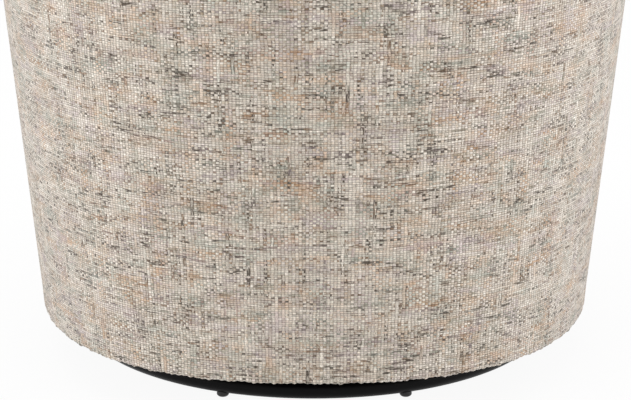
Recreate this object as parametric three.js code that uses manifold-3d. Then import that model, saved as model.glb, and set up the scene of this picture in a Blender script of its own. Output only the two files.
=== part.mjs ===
// Swivel rocker: a round barrel chair that tapers to the floor, on a low ring base.
// Millimetres, +Z up, the front towards -Y. The origin is on the floor, midway from front to back.
import * as THREE from 'three';
import { mergeVertices } from 'three/addons/utils/BufferGeometryUtils.js';
import Module from 'manifold-3d';

const wasm = await Module();
wasm.setup();

// Outside of the upholstered body
const bottomWidth = 620;
const topWidth = 761;
const backHeight = 760;
const armHeight = 612;
const armFrontDrop = 22;
const lowerEdgeHeight = 54;
const outlinePower = 2.32;
const backReachShare = 1.121;
const frontReachShare = 0.985;
const outlineSteps = 64;
const armEndSteps = 4;

// Layers of the wall, from the outside in
const fit = 0.3;
const slopeFit = 0.8;
const coverThickness = 8;
const hemThickness = 4;
const hemReach = 26;
const frameThickness = 22;
const armWall = 92;
const backWall = 136;
const topWall = 84;
const crownHeight = 58;
const armBulge = 6;
const lumbarBulge = 16;
const facingThickness = 14;
const facingOverlap = 2;
const armKneeShare = 0.59;
const backKneeShare = 0.344;

// Seat
const seatFrameBottom = 240;
const seatFrameHeight = 22;
const seatFrameWidth = 44;
const topRailHeight = 45;
const frontRailHeight = 45;
const deckThickness = 16;
const cushionThickness = 140;
const cushionCrown = 22;
const cushionClearance = 5;
const cushionOverhang = 4;
const cushionDrawIn = 5;
const cushionEdgeRound = 12;
const crownRingShares = [0.88, 0.68, 0.4];

// Wires under the deck
const wireDiameter = 4;
const wireSpacing = 90;
const wireCount = 4;
const wireSwing = 21;
const wireWaveLength = 60;
const wireCrown = 12;
const wireHold = 20;
const wireStepsPerWave = 6;
const wireSides = 4;

// Ring base
const ringRadius = 258;
const tubeDiameter = 22;
const tubeSides = 10;
const ringSteps = 48;
const glideCount = 8;
const glideHeight = 4.5;
const glideDiameter = 13.5;
const glideEdge = 1;
const armCount = 4;
const baseArmWidth = 36;
const baseArmHeight = 14;
const baseArmEdge = 3;

// Swivel bearing, stacked up on the arms
const boltDiameter = 16;
const boltHeadWidth = 24;
const boltHeadHeight = 5;
const boltStandOut = 1.6;
const hubBarrelRadius = 26;
const hubFlangeRadius = 92;
const hubFlangeThickness = 4;
const raceRadius = 70;
const raceWidth = 20;
const raceHeight = 7;
const raceGap = 2.4;
const ballDiameter = 8;
const ballCount = 10;
const raceStepsPerBall = 3;
const cageWidth = 12;
const cageThickness = 1.2;
const nutFlangeDiameter = 34;
const nutFlangeThickness = 2;
const nutHeight = 14;

// Rocker mechanism
const rockLimit = THREE.MathUtils.degToRad(6);
const plateThickness = 4;
const cradleWidth = 220;
const cradleDepth = 200;
const plateCorner = 18;
const plateGap = 54;
const pivotHeight = 32;
const pivotDiameter = 12;
const bushWall = 1.7;
const bushFlangeRadius = 13;
const bushFlangeThickness = 1.4;
const earGap = 2;
const rivetHeadRadius = 11;
const rivetHeadHeight = 4;
const rivetCrownShare = 0.7;
const cradleEarFoot = 124;
const cradleEarRound = 15;
const rockerEarFoot = 90;
const rockerEarRound = 13;
const springSpacingX = 140;
const springSpacingY = 150;
const springRadius = 20;
const springWire = 5;
const springTurns = 5;
const springEndPitch = 5.8;
const springSides = 5;
const springStepsPerTurn = 8;
const springBossHeight = 7;
const stopSpacing = 176;
const stopBaseRadius = 16;
const stopTopRadius = 10;
const stopWaist = 3;

// Wooden rails over the mechanism
const crossRailWidth = 44;
const crossRailHeight = 30;
const crossRailSpacing = 150;
const crossRailEdge = 3;
const crossRailEndGap = 3;
const mountBoltDiameter = 8;
const mountBoltHeadWidth = 13;
const mountBoltHeadHeight = 5;
const mountBoltSpacing = 50;

// Dust cover
const dustCoverHeight = 70;
const dustCoverThickness = 1.5;
const dustHoleMargin = 16;

// How far a cutting tool runs past what it cuts, and how deep two joined halves of a pressing meet
const overrun = 5;
const bite = 1;

// Facets round each pin, bolt and bush
const pinSides = 12;

const gridTurn = 2 * Math.PI / outlineSteps;
const armEndTurn = armEndSteps * gridTurn;
const wallRise = backHeight - lowerEdgeHeight;
const gapTurn = fit / (bottomWidth / 2);
const facingTurn = facingThickness / (bottomWidth / 2);
const frameOuter = coverThickness + fit;
const frameInner = frameOuter + frameThickness;
const padBack = frameInner + fit;

const tubeHeight = glideHeight + tubeDiameter / 2;
const baseArmTop = tubeHeight + baseArmHeight / 2;
const hubFlangeBottom = baseArmTop + fit;
const hubFlangeTop = hubFlangeBottom + hubFlangeThickness;
const hubBottom = tubeHeight - baseArmHeight / 2;
const lowerRaceBottom = hubFlangeTop + fit;
const lowerRaceTop = lowerRaceBottom + raceHeight;
const ballHeight = lowerRaceTop + raceGap / 2;
const upperRaceBottom = lowerRaceTop + raceGap;
const cradleBottom = upperRaceBottom + raceHeight + fit;
const cradleTop = cradleBottom + plateThickness;
const rockerBottom = cradleTop + plateGap;
const rockerTop = rockerBottom + plateThickness;
const pivotAxisHeight = cradleTop + pivotHeight;
const nutBottom = cradleTop + fit;
const boltTop = nutBottom + nutHeight + boltStandOut;

const frameBottom = lowerEdgeHeight + hemThickness + fit;
const bottomFrameTop = rockerTop;
const postFoot = bottomFrameTop + fit;
const seatFrameTop = seatFrameBottom + seatFrameHeight;
const wireHeight = seatFrameTop + fit + wireDiameter / 2;
const deckBottom = wireHeight + wireCrown + wireDiameter / 2 + fit;
const deckTop = deckBottom + deckThickness;
const frontTop = deckBottom - fit;
const padFoot = deckTop + fit;
const cushionBottom = deckTop + fit;
const cushionTop = cushionBottom + cushionThickness;

const colours = {
  tweed: 0xa39a8f,
  black: 0x17171a,
  steel: 0x8d9094,
  spring: 0x5a5d62,
  nylon: 0xd9d6cc,
  rubber: 0x1d1d1d,
  wood: 0xc3a06c,
  cloth: 0x1c1c1e,
};

function finish(colour, roughness, metalness) {
  return new THREE.MeshStandardMaterial({ color: colour, roughness, metalness });
}

const makeMaterial = {
  tweed: () => finish(colours.tweed, 0.95, 0),
  black: () => finish(colours.black, 0.4, 0.6),
  steel: () => finish(colours.steel, 0.4, 0.9),
  spring: () => finish(colours.spring, 0.45, 0.9),
  nylon: () => finish(colours.nylon, 0.55, 0),
  rubber: () => finish(colours.rubber, 0.85, 0),
  wood: () => finish(colours.wood, 0.7, 0),
  cloth: () => finish(colours.cloth, 0.95, 0),
};

const chair = new THREE.Group();

// Adds one named piece to the chair
function addPiece(name, geometry, materialName, place = [0, 0, 0], turn = 0) {
  const mesh = new THREE.Mesh(geometry, makeMaterial[materialName]());
  mesh.name = name;
  mesh.position.set(...place);
  mesh.rotation.z = turn;
  chair.add(mesh);
}

// Closed geometry from points and triangles, with its faces turned outwards
function closedGeometry(points, triangles) {
  let volume = 0;
  const product = new THREE.Vector3();
  for (let index = 0; index < triangles.length; index += 3) {
    const [first, second, third] = triangles.slice(index, index + 3).map(corner => points[corner]);
    volume += product.crossVectors(first, second).dot(third);
  }
  const order = volume < 0 ? triangles.reverse() : triangles;
  const geometry = new THREE.BufferGeometry();
  const positions = new Float32Array(points.flatMap(point => point.toArray()));
  geometry.setAttribute('position', new THREE.BufferAttribute(positions, 3));
  geometry.setIndex(order);
  geometry.computeVertexNormals();
  return geometry;
}

// Joins rings of equally many points into a skin, as a list of triangles
function skinTriangles(ringCount, sideCount, isLoop) {
  const triangles = [];
  const spans = isLoop ? ringCount : ringCount - 1;
  for (let ring = 0; ring < spans; ring += 1) {
    const next = (ring + 1) % ringCount;
    for (let side = 0; side < sideCount; side += 1) {
      const after = (side + 1) % sideCount;
      const near = [ring * sideCount + side, ring * sideCount + after];
      const far = [next * sideCount + side, next * sideCount + after];
      triangles.push(near[0], near[1], far[1], near[0], far[1], far[0]);
    }
  }
  return triangles;
}

// Triangles that close a flat section, all wound as its outline is
function capTriangles(outline) {
  const contour = outline.map(([across, up]) => new THREE.Vector2(across, up));
  const isClockwise = THREE.ShapeUtils.isClockWise(contour);
  return THREE.ShapeUtils.triangulateShape(contour, []).flatMap(corners => {
    const isSame = THREE.ShapeUtils.isClockWise(corners.map(corner => contour[corner])) === isClockwise;
    return isSame ? corners : [...corners].reverse();
  });
}

// Sweeps a closed section of [inset, height] pairs round the body's outline
function sweepRound(turns, sectionAt, isLoop = false) {
  const sections = turns.map(sectionAt);
  const sideCount = sections[0].length;
  const points = sections.flatMap((section, ring) => (
    section.map(([inset, height]) => outlinePoint(turns[ring], inset, height))
  ));
  const triangles = skinTriangles(turns.length, sideCount, isLoop);
  if (!isLoop) {
    const lastRing = (turns.length - 1) * sideCount;
    triangles.push(...capTriangles(sections[0]).reverse());
    triangles.push(...capTriangles(sections.at(-1)).map(corner => corner + lastRing));
  }
  return closedGeometry(points, triangles);
}

// Lofts through rings of points, from the middle of the first to the middle of the last
function loftRings(rings, firstMiddle, lastMiddle) {
  const sideCount = rings[0].length;
  const points = [...rings.flat(), firstMiddle, lastMiddle];
  const triangles = skinTriangles(rings.length, sideCount, false);
  const lastRing = (rings.length - 1) * sideCount;
  for (let side = 0; side < sideCount; side += 1) {
    const after = (side + 1) % sideCount;
    triangles.push(after, side, points.length - 2);
    triangles.push(lastRing + side, lastRing + after, points.length - 1);
  }
  return closedGeometry(points, triangles);
}

// Turns a profile of [radius, height] pairs about the Z axis
function turned(profile, sides) {
  const points = profile.map(([radius, height]) => new THREE.Vector2(radius, height));
  return new THREE.LatheGeometry(points, sides).rotateX(Math.PI / 2);
}

// A turned ring whose profile closes on itself
function turnedRing(profile, sides) {
  return turned([...profile, profile[0]], sides);
}

function cylinder(radius, bottom, top, sides) {
  return turned([[0, bottom], [radius, bottom], [radius, top], [0, top]], sides);
}

function toSolid(geometry) {
  const bare = geometry.clone();
  bare.deleteAttribute('normal');
  bare.deleteAttribute('uv');
  const merged = mergeVertices(bare);
  const vertProperties = new Float32Array(merged.attributes.position.array);
  const triVerts = new Uint32Array(merged.index.array);
  return new wasm.Manifold(new wasm.Mesh({ numProp: 3, vertProperties, triVerts }));
}

function fromSolid(solid) {
  const mesh = solid.getMesh();
  const geometry = new THREE.BufferGeometry();
  geometry.setAttribute('position', new THREE.BufferAttribute(new Float32Array(mesh.vertProperties), 3));
  geometry.setIndex(new THREE.BufferAttribute(new Uint32Array(mesh.triVerts), 1));
  geometry.computeVertexNormals();
  return geometry;
}

function join(geometries) {
  return fromSolid(geometries.map(toSolid).reduce((whole, next) => whole.add(next)));
}

function cut(geometry, tools) {
  return fromSolid(tools.map(toSolid).reduce((whole, tool) => whole.subtract(tool), toSolid(geometry)));
}

function roundedRectangle(width, height, corner) {
  const shape = new THREE.Shape();
  const right = width / 2 - corner;
  const top = height / 2 - corner;
  shape.absarc(right, top, corner, 0, Math.PI / 2);
  shape.absarc(-right, top, corner, Math.PI / 2, Math.PI);
  shape.absarc(-right, -top, corner, Math.PI, 3 * Math.PI / 2);
  shape.absarc(right, -top, corner, 3 * Math.PI / 2, 2 * Math.PI);
  return shape;
}

// A many-sided hole whose flats stand clear of a round pin of the given radius
function roundHole(x, y, pinRadius) {
  const corner = (pinRadius + fit) / Math.cos(Math.PI / pinSides);
  const points = Array.from({ length: pinSides }, (_, side) => {
    const turn = 2 * Math.PI * side / pinSides;
    return new THREE.Vector2(x + corner * Math.cos(turn), y + corner * Math.sin(turn));
  });
  return new THREE.Path(points);
}

// The same hole as a cutting tool along Z
function roundDrill(pinRadius, bottom, top) {
  const corner = (pinRadius + fit) / Math.cos(Math.PI / pinSides);
  return cylinder(corner, bottom - overrun, top + overrun, pinSides);
}

function extruded(shape, depth, curveSegments) {
  return new THREE.ExtrudeGeometry(shape, { depth, bevelEnabled: false, curveSegments });
}

// A flat pressing cut from a shape, with its underside at the given height
function flatPlate(shape, thickness, bottom, curveSegments) {
  return extruded(shape, thickness, curveSegments).translate(0, 0, bottom);
}

// A shape drawn in the YZ plane and thickened along X
function uprightPlate(shape, thickness, start, curveSegments) {
  const axes = new THREE.Matrix4().makeBasis(
    new THREE.Vector3(0, 1, 0),
    new THREE.Vector3(0, 0, 1),
    new THREE.Vector3(1, 0, 0),
  );
  return extruded(shape, thickness, curveSegments).applyMatrix4(axes).translate(start, 0, 0);
}

// A hexagon of the given width across its flats
function hexagon(acrossFlats) {
  const shape = new THREE.Shape();
  const corner = acrossFlats / Math.sqrt(3);
  for (let side = 0; side < 6; side += 1) {
    const turn = side * Math.PI / 3;
    const isFirst = side === 0;
    const place = [corner * Math.cos(turn), corner * Math.sin(turn)];
    if (isFirst) {
      shape.moveTo(...place);
    } else {
      shape.lineTo(...place);
    }
  }
  return shape;
}

// A bolt standing on its head
function hexBolt(headWidth, headBottom, headTop, diameter, top) {
  const head = flatPlate(hexagon(headWidth), headTop - headBottom, headBottom, 1);
  const shank = cylinder(diameter / 2, headTop - bite, top, pinSides);
  return join([head, shank]);
}

// A round wire along a list of points, with the section's first axis given at each point
function wireAlong(points, sideways, diameter, sides) {
  const ringPoints = points.flatMap((point, index) => {
    const before = points[Math.max(index - 1, 0)];
    const after = points[Math.min(index + 1, points.length - 1)];
    const forward = new THREE.Vector3().subVectors(after, before).normalize();
    const across = sideways[index].clone().projectOnPlane(forward).normalize();
    const up = new THREE.Vector3().crossVectors(forward, across);
    return Array.from({ length: sides }, (_, side) => {
      const turn = 2 * Math.PI * side / sides;
      const offset = across.clone().multiplyScalar(Math.cos(turn) * diameter / 2);
      offset.addScaledVector(up, Math.sin(turn) * diameter / 2);
      return offset.add(point);
    });
  });
  const rings = points.map((_, ring) => ringPoints.slice(ring * sides, (ring + 1) * sides));
  return loftRings(rings, points[0], points.at(-1));
}

// The body's outline, a soft square that tapers to the floor

function easedRise(share) {
  return share * share * (3 - 2 * share);
}

function halfWidthAt(height) {
  return (bottomWidth + (topWidth - bottomWidth) * (height - lowerEdgeHeight) / wallRise) / 2;
}

function outlinePoint(turn, inset, height) {
  const across = Math.cos(turn);
  const along = Math.sin(turn);
  const halfWidth = halfWidthAt(height);
  const reach = halfWidth * (along > 0 ? backReachShare : frontReachShare);
  return new THREE.Vector3(
    Math.sign(across) * Math.abs(across) ** (2 / outlinePower) * (halfWidth - inset),
    Math.sign(along) * Math.abs(along) ** (2 / outlinePower) * (reach - inset),
    height,
  );
}

// How far the outline reaches towards the back or the front at a distance from the middle
function reachAtSide(side, inset, height, isBack) {
  const halfWidth = halfWidthAt(height);
  const reach = halfWidth * (isBack ? backReachShare : frontReachShare);
  return (reach - inset) * (1 - (side / (halfWidth - inset)) ** outlinePower) ** (1 / outlinePower);
}

// 1 at the middle of the back, 0 from the sides forward
function backness(turn) {
  return easedRise(Math.max(0, Math.sin(turn)));
}

function rimHeightAt(turn) {
  const frontness = Math.max(0, -Math.sin(turn)) / Math.sin(armEndTurn);
  return armHeight + (backHeight - armHeight) * backness(turn) - armFrontDrop * frontness ** 2;
}

function seamHeightAt(turn) {
  return rimHeightAt(turn) - crownHeight;
}

function wallAt(turn) {
  return armWall + (backWall - armWall) * backness(turn);
}

function gridTurns(firstStep, lastStep) {
  return Array.from({ length: lastStep - firstStep + 1 }, (_, step) => (firstStep + step) * gridTurn);
}

const halfSteps = outlineSteps / 2;
const wholeTurns = gridTurns(0, outlineSteps - 1);
const armToArmTurns = gridTurns(-armEndSteps, halfSteps + armEndSteps);
const frontTurns = gridTurns(halfSteps + armEndSteps, outlineSteps - armEndSteps);
frontTurns[0] += gapTurn;
frontTurns[frontTurns.length - 1] -= gapTurn;

function rectangleSection(outer, inner, bottom, top) {
  return [[outer, bottom], [inner, bottom], [inner, top], [outer, top]];
}

// Upholstery

// Cover with its hem turned under the bottom frame
function coverSection(top) {
  return [
    [0, lowerEdgeHeight],
    [hemReach, lowerEdgeHeight],
    [hemReach, lowerEdgeHeight + hemThickness],
    [coverThickness, lowerEdgeHeight + hemThickness],
    [coverThickness, top],
    [0, top],
  ];
}

// Inner face and rounded top of the padded wall, from the seat up and over to the outside
function padFace(turn, proud) {
  const wall = wallAt(turn) + proud;
  const top = topWall + 2 * proud;
  const seam = seamHeightAt(turn);
  const bulge = armBulge + (lumbarBulge - armBulge) * backness(turn);
  const kneeShare = armKneeShare + (backKneeShare - armKneeShare) * backness(turn);
  const knee = padFoot + (seam - padFoot) * kneeShare;
  const points = [
    [wall, padFoot],
    [wall, knee],
    [wall + bulge, (knee + seam) / 2],
  ];
  const crownSteps = 7;
  for (let step = 0; step <= crownSteps; step += 1) {
    const turnOver = Math.PI * step / crownSteps;
    const across = Math.sign(Math.cos(turnOver)) * Math.abs(Math.cos(turnOver)) ** (2 / outlinePower);
    const rise = Math.sin(turnOver) ** (2 / outlinePower);
    points.push([topWall / 2 + top / 2 * across, seam + (crownHeight + proud) * rise]);
  }
  return points;
}

function padSection(turn) {
  return [[padBack, padFoot], ...padFace(turn, 0), [padBack, seamHeightAt(turn)]];
}

function facingSection(turn) {
  return [[-facingOverlap, padFoot], ...padFace(turn, facingOverlap)];
}

function addUpholstery() {
  const outerSection = turn => coverSection(seamHeightAt(turn) - slopeFit);
  addPiece('outer_cover', sweepRound(armToArmTurns, outerSection), 'tweed');
  addPiece('front_cover', sweepRound(frontTurns, () => coverSection(frontTop)), 'tweed');
  addPiece('inner_pad', sweepRound(armToArmTurns, padSection), 'tweed');
  const leftEnd = -armEndTurn - gapTurn;
  const rightEnd = Math.PI + armEndTurn + gapTurn;
  // The facings keep one section, that of the wall where they close it
  const facing = facingSection(-armEndTurn);
  addPiece('arm_facing_left', sweepRound([leftEnd - facingTurn, leftEnd], () => facing), 'tweed');
  addPiece('arm_facing_right', sweepRound([rightEnd, rightEnd + facingTurn], () => facing), 'tweed');
}

// Outline that follows the wall between the arms and widens in front of them, as [turn, inset] pairs
function seatOutline(stepTurn, insetAt, overhang) {
  const isApart = turn => Math.abs(Math.abs(turn - Math.PI / 2) - Math.PI / 2 - stepTurn) > gridTurn / 4;
  const inner = armToArmTurns.filter(turn => isApart(turn) && turn > -stepTurn);
  const wide = gridTurns(halfSteps + armEndSteps, outlineSteps - armEndSteps)
    .filter(turn => Math.abs(turn - 3 * Math.PI / 2) < Math.PI / 2 - stepTurn - gridTurn / 4);
  const stepWidth = 2 * gapTurn;
  return [
    [-stepTurn, insetAt(-armEndTurn)],
    ...inner.map(turn => [turn, insetAt(turn)]),
    [Math.PI + stepTurn, insetAt(-armEndTurn)],
    [Math.PI + stepTurn + stepWidth, -overhang],
    ...wide.map(turn => [turn, -overhang]),
    [2 * Math.PI - stepTurn - stepWidth, -overhang],
  ];
}

function outlineShape(pairs, height) {
  const points = pairs.map(([turn, inset]) => outlinePoint(turn, inset, height));
  return new THREE.Shape(points.map(point => new THREE.Vector2(point.x, point.y)));
}

// Rings of the loose cushion, from its flat underside to its crown
function cushionRings() {
  const step = armEndTurn + gapTurn + facingTurn + cushionClearance / (bottomWidth / 2);
  const pairs = seatOutline(step, turn => wallAt(turn) + cushionClearance, cushionOverhang);
  const side = cushionTop - cushionBottom;
  const ringAt = (height, extra, share) => pairs.map(([turn, inset]) => {
    const point = outlinePoint(turn, inset + extra, height);
    return point.setX(point.x * share).setY(point.y * share);
  });
  const crownAt = share => cushionTop + cushionCrown * (1 - share ** 2);
  return [
    ringAt(cushionBottom, cushionEdgeRound / 2, 1),
    ringAt(cushionBottom + cushionEdgeRound, 0, 1),
    ringAt(cushionBottom + side / 2, cushionDrawIn, 1),
    ringAt(cushionTop - cushionEdgeRound, 0, 1),
    ringAt(cushionTop, cushionEdgeRound / 2, 1),
    ...crownRingShares.map(share => ringAt(crownAt(share), cushionEdgeRound / 2, share)),
  ];
}

function addSeatPads() {
  const deckShape = outlineShape(seatOutline(armEndTurn + gapTurn, () => padBack, 0), deckBottom);
  addPiece('deck_pad', flatPlate(deckShape, deckThickness, deckBottom, 1), 'tweed');
  const underside = new THREE.Vector3(0, 0, cushionBottom);
  const summit = new THREE.Vector3(0, 0, cushionTop + cushionCrown);
  addPiece('seat_cushion', loftRings(cushionRings(), underside, summit), 'tweed');
}

// Wooden frame inside the wall

function frameBand(turns, bottomAt, topAt, isLoop = false) {
  const sectionAt = turn => rectangleSection(frameOuter, frameInner, bottomAt(turn), topAt(turn));
  return sweepRound(turns, sectionAt, isLoop);
}

function addPost(name, step, topAt) {
  addPiece(name, frameBand(gridTurns(step, step + 1), () => postFoot, topAt), 'wood');
}

function addFrame() {
  addPiece('bottom_frame', frameBand(wholeTurns, () => frameBottom, () => bottomFrameTop, true), 'wood');
  const seatSection = rectangleSection(padBack, padBack + seatFrameWidth, seatFrameBottom, seatFrameTop);
  addPiece('seat_frame', sweepRound(wholeTurns, () => seatSection, true), 'wood');
  const railTop = turn => seamHeightAt(turn) - slopeFit;
  const railBottom = turn => railTop(turn) - topRailHeight;
  addPiece('top_rail', frameBand(armToArmTurns, railBottom, railTop), 'wood');
  addPiece('front_rail', frameBand(frontTurns, () => frontTop - frontRailHeight, () => frontTop), 'wood');
  const underRail = turn => railBottom(turn) - slopeFit;
  const underFrontRail = () => frontTop - frontRailHeight - fit;
  const quarter = halfSteps / 2;
  const eighth = quarter / 2;
  addPost('arm_post_left', -armEndSteps, underRail);
  addPost('arm_post_right', halfSteps + armEndSteps - 1, underRail);
  addPost('back_post_left', eighth - 1, underRail);
  addPost('back_post_right', halfSteps - eighth, underRail);
  addPiece('back_post_middle', frameBand(
    gridTurns(quarter - 1, quarter + 1),
    () => postFoot,
    underRail,
  ), 'wood');
  addPost('front_post_right', halfSteps + eighth + 2, underFrontRail);
  addPost('front_post_left', outlineSteps - eighth - 3, underFrontRail);
}

// Wavy wires from the front to the back of the seat frame

function seatWire(x) {
  const inner = padBack + seatFrameWidth;
  const side = Math.abs(x) + wireSwing;
  const front = -reachAtSide(side, inner, wireHeight, false) - wireHold;
  const back = reachAtSide(side, inner, wireHeight, true) + wireHold;
  const waves = Math.round((back - front) / wireWaveLength);
  const steps = waves * wireStepsPerWave;
  const span = back - front;
  const points = Array.from({ length: steps + 1 }, (_, step) => {
    const along = step / steps;
    const free = THREE.MathUtils.clamp((span * along - wireHold) / (span - 2 * wireHold), 0, 1);
    const swing = wireSwing * Math.sin(2 * Math.PI * waves * along);
    const height = wireHeight + wireCrown * 4 * free * (1 - free);
    return new THREE.Vector3(x + swing, front + span * along, height);
  });
  const sideways = points.map(() => new THREE.Vector3(0, 0, 1));
  return wireAlong(points, sideways, wireDiameter, wireSides);
}

function addSeatWires() {
  for (let index = 0; index < wireCount; index += 1) {
    const x = (index - (wireCount - 1) / 2) * wireSpacing;
    addPiece(`seat_wire_${index + 1}`, seatWire(x), 'spring');
  }
}

// Cross rails and the dust cover

function crossRail(x) {
  const bottom = rockerTop + fit;
  const side = Math.abs(x) + crossRailWidth / 2;
  const inset = coverThickness + crossRailEndGap;
  const front = -reachAtSide(side, inset, bottom, false);
  const back = reachAtSide(side, inset, bottom, true);
  const section = roundedRectangle(crossRailWidth, crossRailHeight, crossRailEdge);
  const bar = extruded(section, back - front, 2);
  bar.rotateX(Math.PI / 2).translate(x, back, bottom + crossRailHeight / 2);
  const holes = [-1, 1].map(side => (
    roundDrill(mountBoltDiameter / 2, bottom, bottom + crossRailHeight)
      .translate(x, side * mountBoltSpacing / 2, 0)
  ));
  return cut(bar, holes);
}

function addCrossRails() {
  addPiece('cross_rail_left', crossRail(crossRailSpacing / 2), 'wood');
  addPiece('cross_rail_right', crossRail(-crossRailSpacing / 2), 'wood');
}

function addDustCover() {
  const pairs = wholeTurns.map(turn => [turn, padBack]);
  const shape = outlineShape(pairs, dustCoverHeight);
  const corner = plateCorner + dustHoleMargin;
  const hole = roundedRectangle(cradleWidth + 2 * dustHoleMargin, cradleDepth + 2 * dustHoleMargin, corner);
  shape.holes.push(new THREE.Path(hole.getPoints(4)));
  addPiece('dust_cover', flatPlate(shape, dustCoverThickness, dustCoverHeight, 1), 'cloth');
}

// Ring base

function tubeRing(radius) {
  return new THREE.TorusGeometry(ringRadius, radius, tubeSides, ringSteps).translate(0, 0, tubeHeight);
}

function floorGlide() {
  const radius = glideDiameter / 2;
  const body = turned([
    [0, 0],
    [radius - glideEdge, 0],
    [radius, glideEdge],
    [radius, tubeHeight],
    [0, tubeHeight],
  ], 12);
  return cut(body, [tubeRing(tubeDiameter / 2 + fit).translate(-ringRadius, 0, 0)]);
}

function baseArm() {
  const section = roundedRectangle(baseArmWidth, baseArmHeight, baseArmEdge);
  const bar = extruded(section, ringRadius, 2);
  bar.rotateX(Math.PI / 2).rotateZ(Math.PI / 2).translate(0, 0, tubeHeight);
  const barrel = cylinder(hubBarrelRadius + fit, -overrun, baseArmTop + overrun, 24);
  return cut(bar, [tubeRing(tubeDiameter / 2 + fit), barrel]);
}

function addBase() {
  addPiece('base_ring', tubeRing(tubeDiameter / 2), 'black');
  const glide = floorGlide();
  for (let index = 0; index < glideCount; index += 1) {
    const turn = (index + 0.5) * 2 * Math.PI / glideCount;
    const place = [ringRadius * Math.cos(turn), ringRadius * Math.sin(turn), 0];
    addPiece(`floor_glide_${index + 1}`, glide.clone(), 'black', place, turn);
  }
  const arm = baseArm();
  for (let index = 0; index < armCount; index += 1) {
    addPiece(`base_arm_${index + 1}`, arm.clone(), 'black', [0, 0, 0], index * 2 * Math.PI / armCount);
  }
}

// Swivel bearing

function hubPlate() {
  const bore = boltDiameter / 2 + fit;
  return turnedRing([
    [bore, hubBottom],
    [hubBarrelRadius, hubBottom],
    [hubBarrelRadius, hubFlangeBottom],
    [hubFlangeRadius, hubFlangeBottom],
    [hubFlangeRadius, hubFlangeTop],
    [bore, hubFlangeTop],
  ], 24);
}

// A race whose groove opens towards the balls: up for the lower one, down for the upper one
function bearingRace(bottom, top, isLower) {
  const half = raceWidth / 2;
  const grooveRadius = ballDiameter / 2 + fit;
  const grooveSteps = 3;
  const open = isLower ? top : bottom;
  const shut = isLower ? bottom : top;
  const reach = Math.sqrt(grooveRadius ** 2 - (open - ballHeight) ** 2);
  const span = Math.asin(reach / grooveRadius);
  const cornerRadius = grooveRadius / Math.cos(span / grooveSteps);
  const groove = Array.from({ length: grooveSteps + 1 }, (_, step) => {
    const turn = span * (2 * step / grooveSteps - 1);
    const drop = cornerRadius * Math.cos(turn) * Math.sign(shut - open);
    return [raceRadius + cornerRadius * Math.sin(turn), ballHeight + drop];
  });
  return turnedOut(turnedRing([
    [raceRadius - half, shut],
    [raceRadius - half, open],
    ...groove,
    [raceRadius + half, open],
    [raceRadius + half, shut],
  ], ballCount * raceStepsPerBall));
}

function ballCage() {
  const half = cageWidth / 2;
  const bottom = ballHeight - cageThickness / 2;
  const top = ballHeight + cageThickness / 2;
  const plate = turnedRing([
    [raceRadius - half, bottom],
    [raceRadius + half, bottom],
    [raceRadius + half, top],
    [raceRadius - half, top],
  ], ballCount * raceStepsPerBall);
  const balls = Array.from({ length: ballCount }, (_, index) => {
    const turn = 2 * Math.PI * index / ballCount;
    const ball = new THREE.SphereGeometry(ballDiameter / 2, 8, 4).rotateX(Math.PI / 2);
    return ball.translate(raceRadius * Math.cos(turn), raceRadius * Math.sin(turn), ballHeight);
  });
  return join([plate, ...balls]);
}

function lockNut() {
  const flange = cylinder(nutFlangeDiameter / 2, nutBottom, nutBottom + nutFlangeThickness, 16);
  const body = flatPlate(hexagon(boltHeadWidth), nutHeight, nutBottom, 1);
  const bore = roundDrill(boltDiameter / 2, nutBottom, nutBottom + nutHeight);
  return cut(join([flange, body]), [bore]);
}

function addBearing() {
  addPiece('hub_plate', hubPlate(), 'black');
  addPiece('lower_race', bearingRace(lowerRaceBottom, lowerRaceTop, true), 'steel');
  addPiece('ball_cage', ballCage(), 'nylon');
  addPiece('upper_race', bearingRace(upperRaceBottom, upperRaceBottom + raceHeight, false), 'steel');
  const headTop = hubBottom - fit;
  const bolt = hexBolt(boltHeadWidth, headTop - boltHeadHeight, headTop, boltDiameter, boltTop);
  addPiece('centre_bolt', bolt, 'steel');
  addPiece('lock_nut', lockNut(), 'steel');
}

// Turns the faces of a closed geometry outwards
function turnedOut(geometry) {
  const merged = geometry.clone();
  merged.deleteAttribute('normal');
  merged.deleteAttribute('uv');
  const indexed = mergeVertices(merged);
  const place = indexed.attributes.position;
  const points = Array.from({ length: place.count }, (_, index) => (
    new THREE.Vector3().fromBufferAttribute(place, index)
  ));
  return closedGeometry(points, Array.from(indexed.index.array));
}

// Rocker mechanism

const cradleEarOuter = cradleWidth / 2;
const cradleEarInner = cradleEarOuter - plateThickness;
const rockerEarOuter = cradleEarInner - earGap;
const rockerEarInner = rockerEarOuter - plateThickness;
const bushRadius = pivotDiameter / 2 + fit + bushWall;
const springPlaces = [[1, 1], [-1, 1], [-1, -1], [1, -1]].map(([sideX, sideY]) => (
  [sideX * springSpacingX / 2, sideY * springSpacingY / 2]
));
const springBossRadius = springRadius - springWire / 2 - bite;

// An ear that narrows from its foot to a round end about the pivot
function earShape(footWidth, round, footHeight) {
  const shape = new THREE.Shape();
  const isUp = footHeight < pivotAxisHeight;
  shape.moveTo(-footWidth / 2, footHeight);
  shape.lineTo(footWidth / 2, footHeight);
  shape.absarc(0, pivotAxisHeight, round, 0, isUp ? Math.PI : -Math.PI, !isUp);
  shape.lineTo(-footWidth / 2, footHeight);
  shape.holes.push(roundHole(0, pivotAxisHeight, bushRadius));
  return shape;
}

function mirroredEars(shape, inner, outer) {
  const ear = uprightPlate(shape, outer - inner, inner, 8);
  const other = uprightPlate(shape, outer - inner, -outer, 8);
  return [ear, other];
}

function springBosses(bottom, top) {
  return springPlaces.map(([x, y]) => cylinder(springBossRadius, bottom, top, 8).translate(x, y, 0));
}

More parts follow.
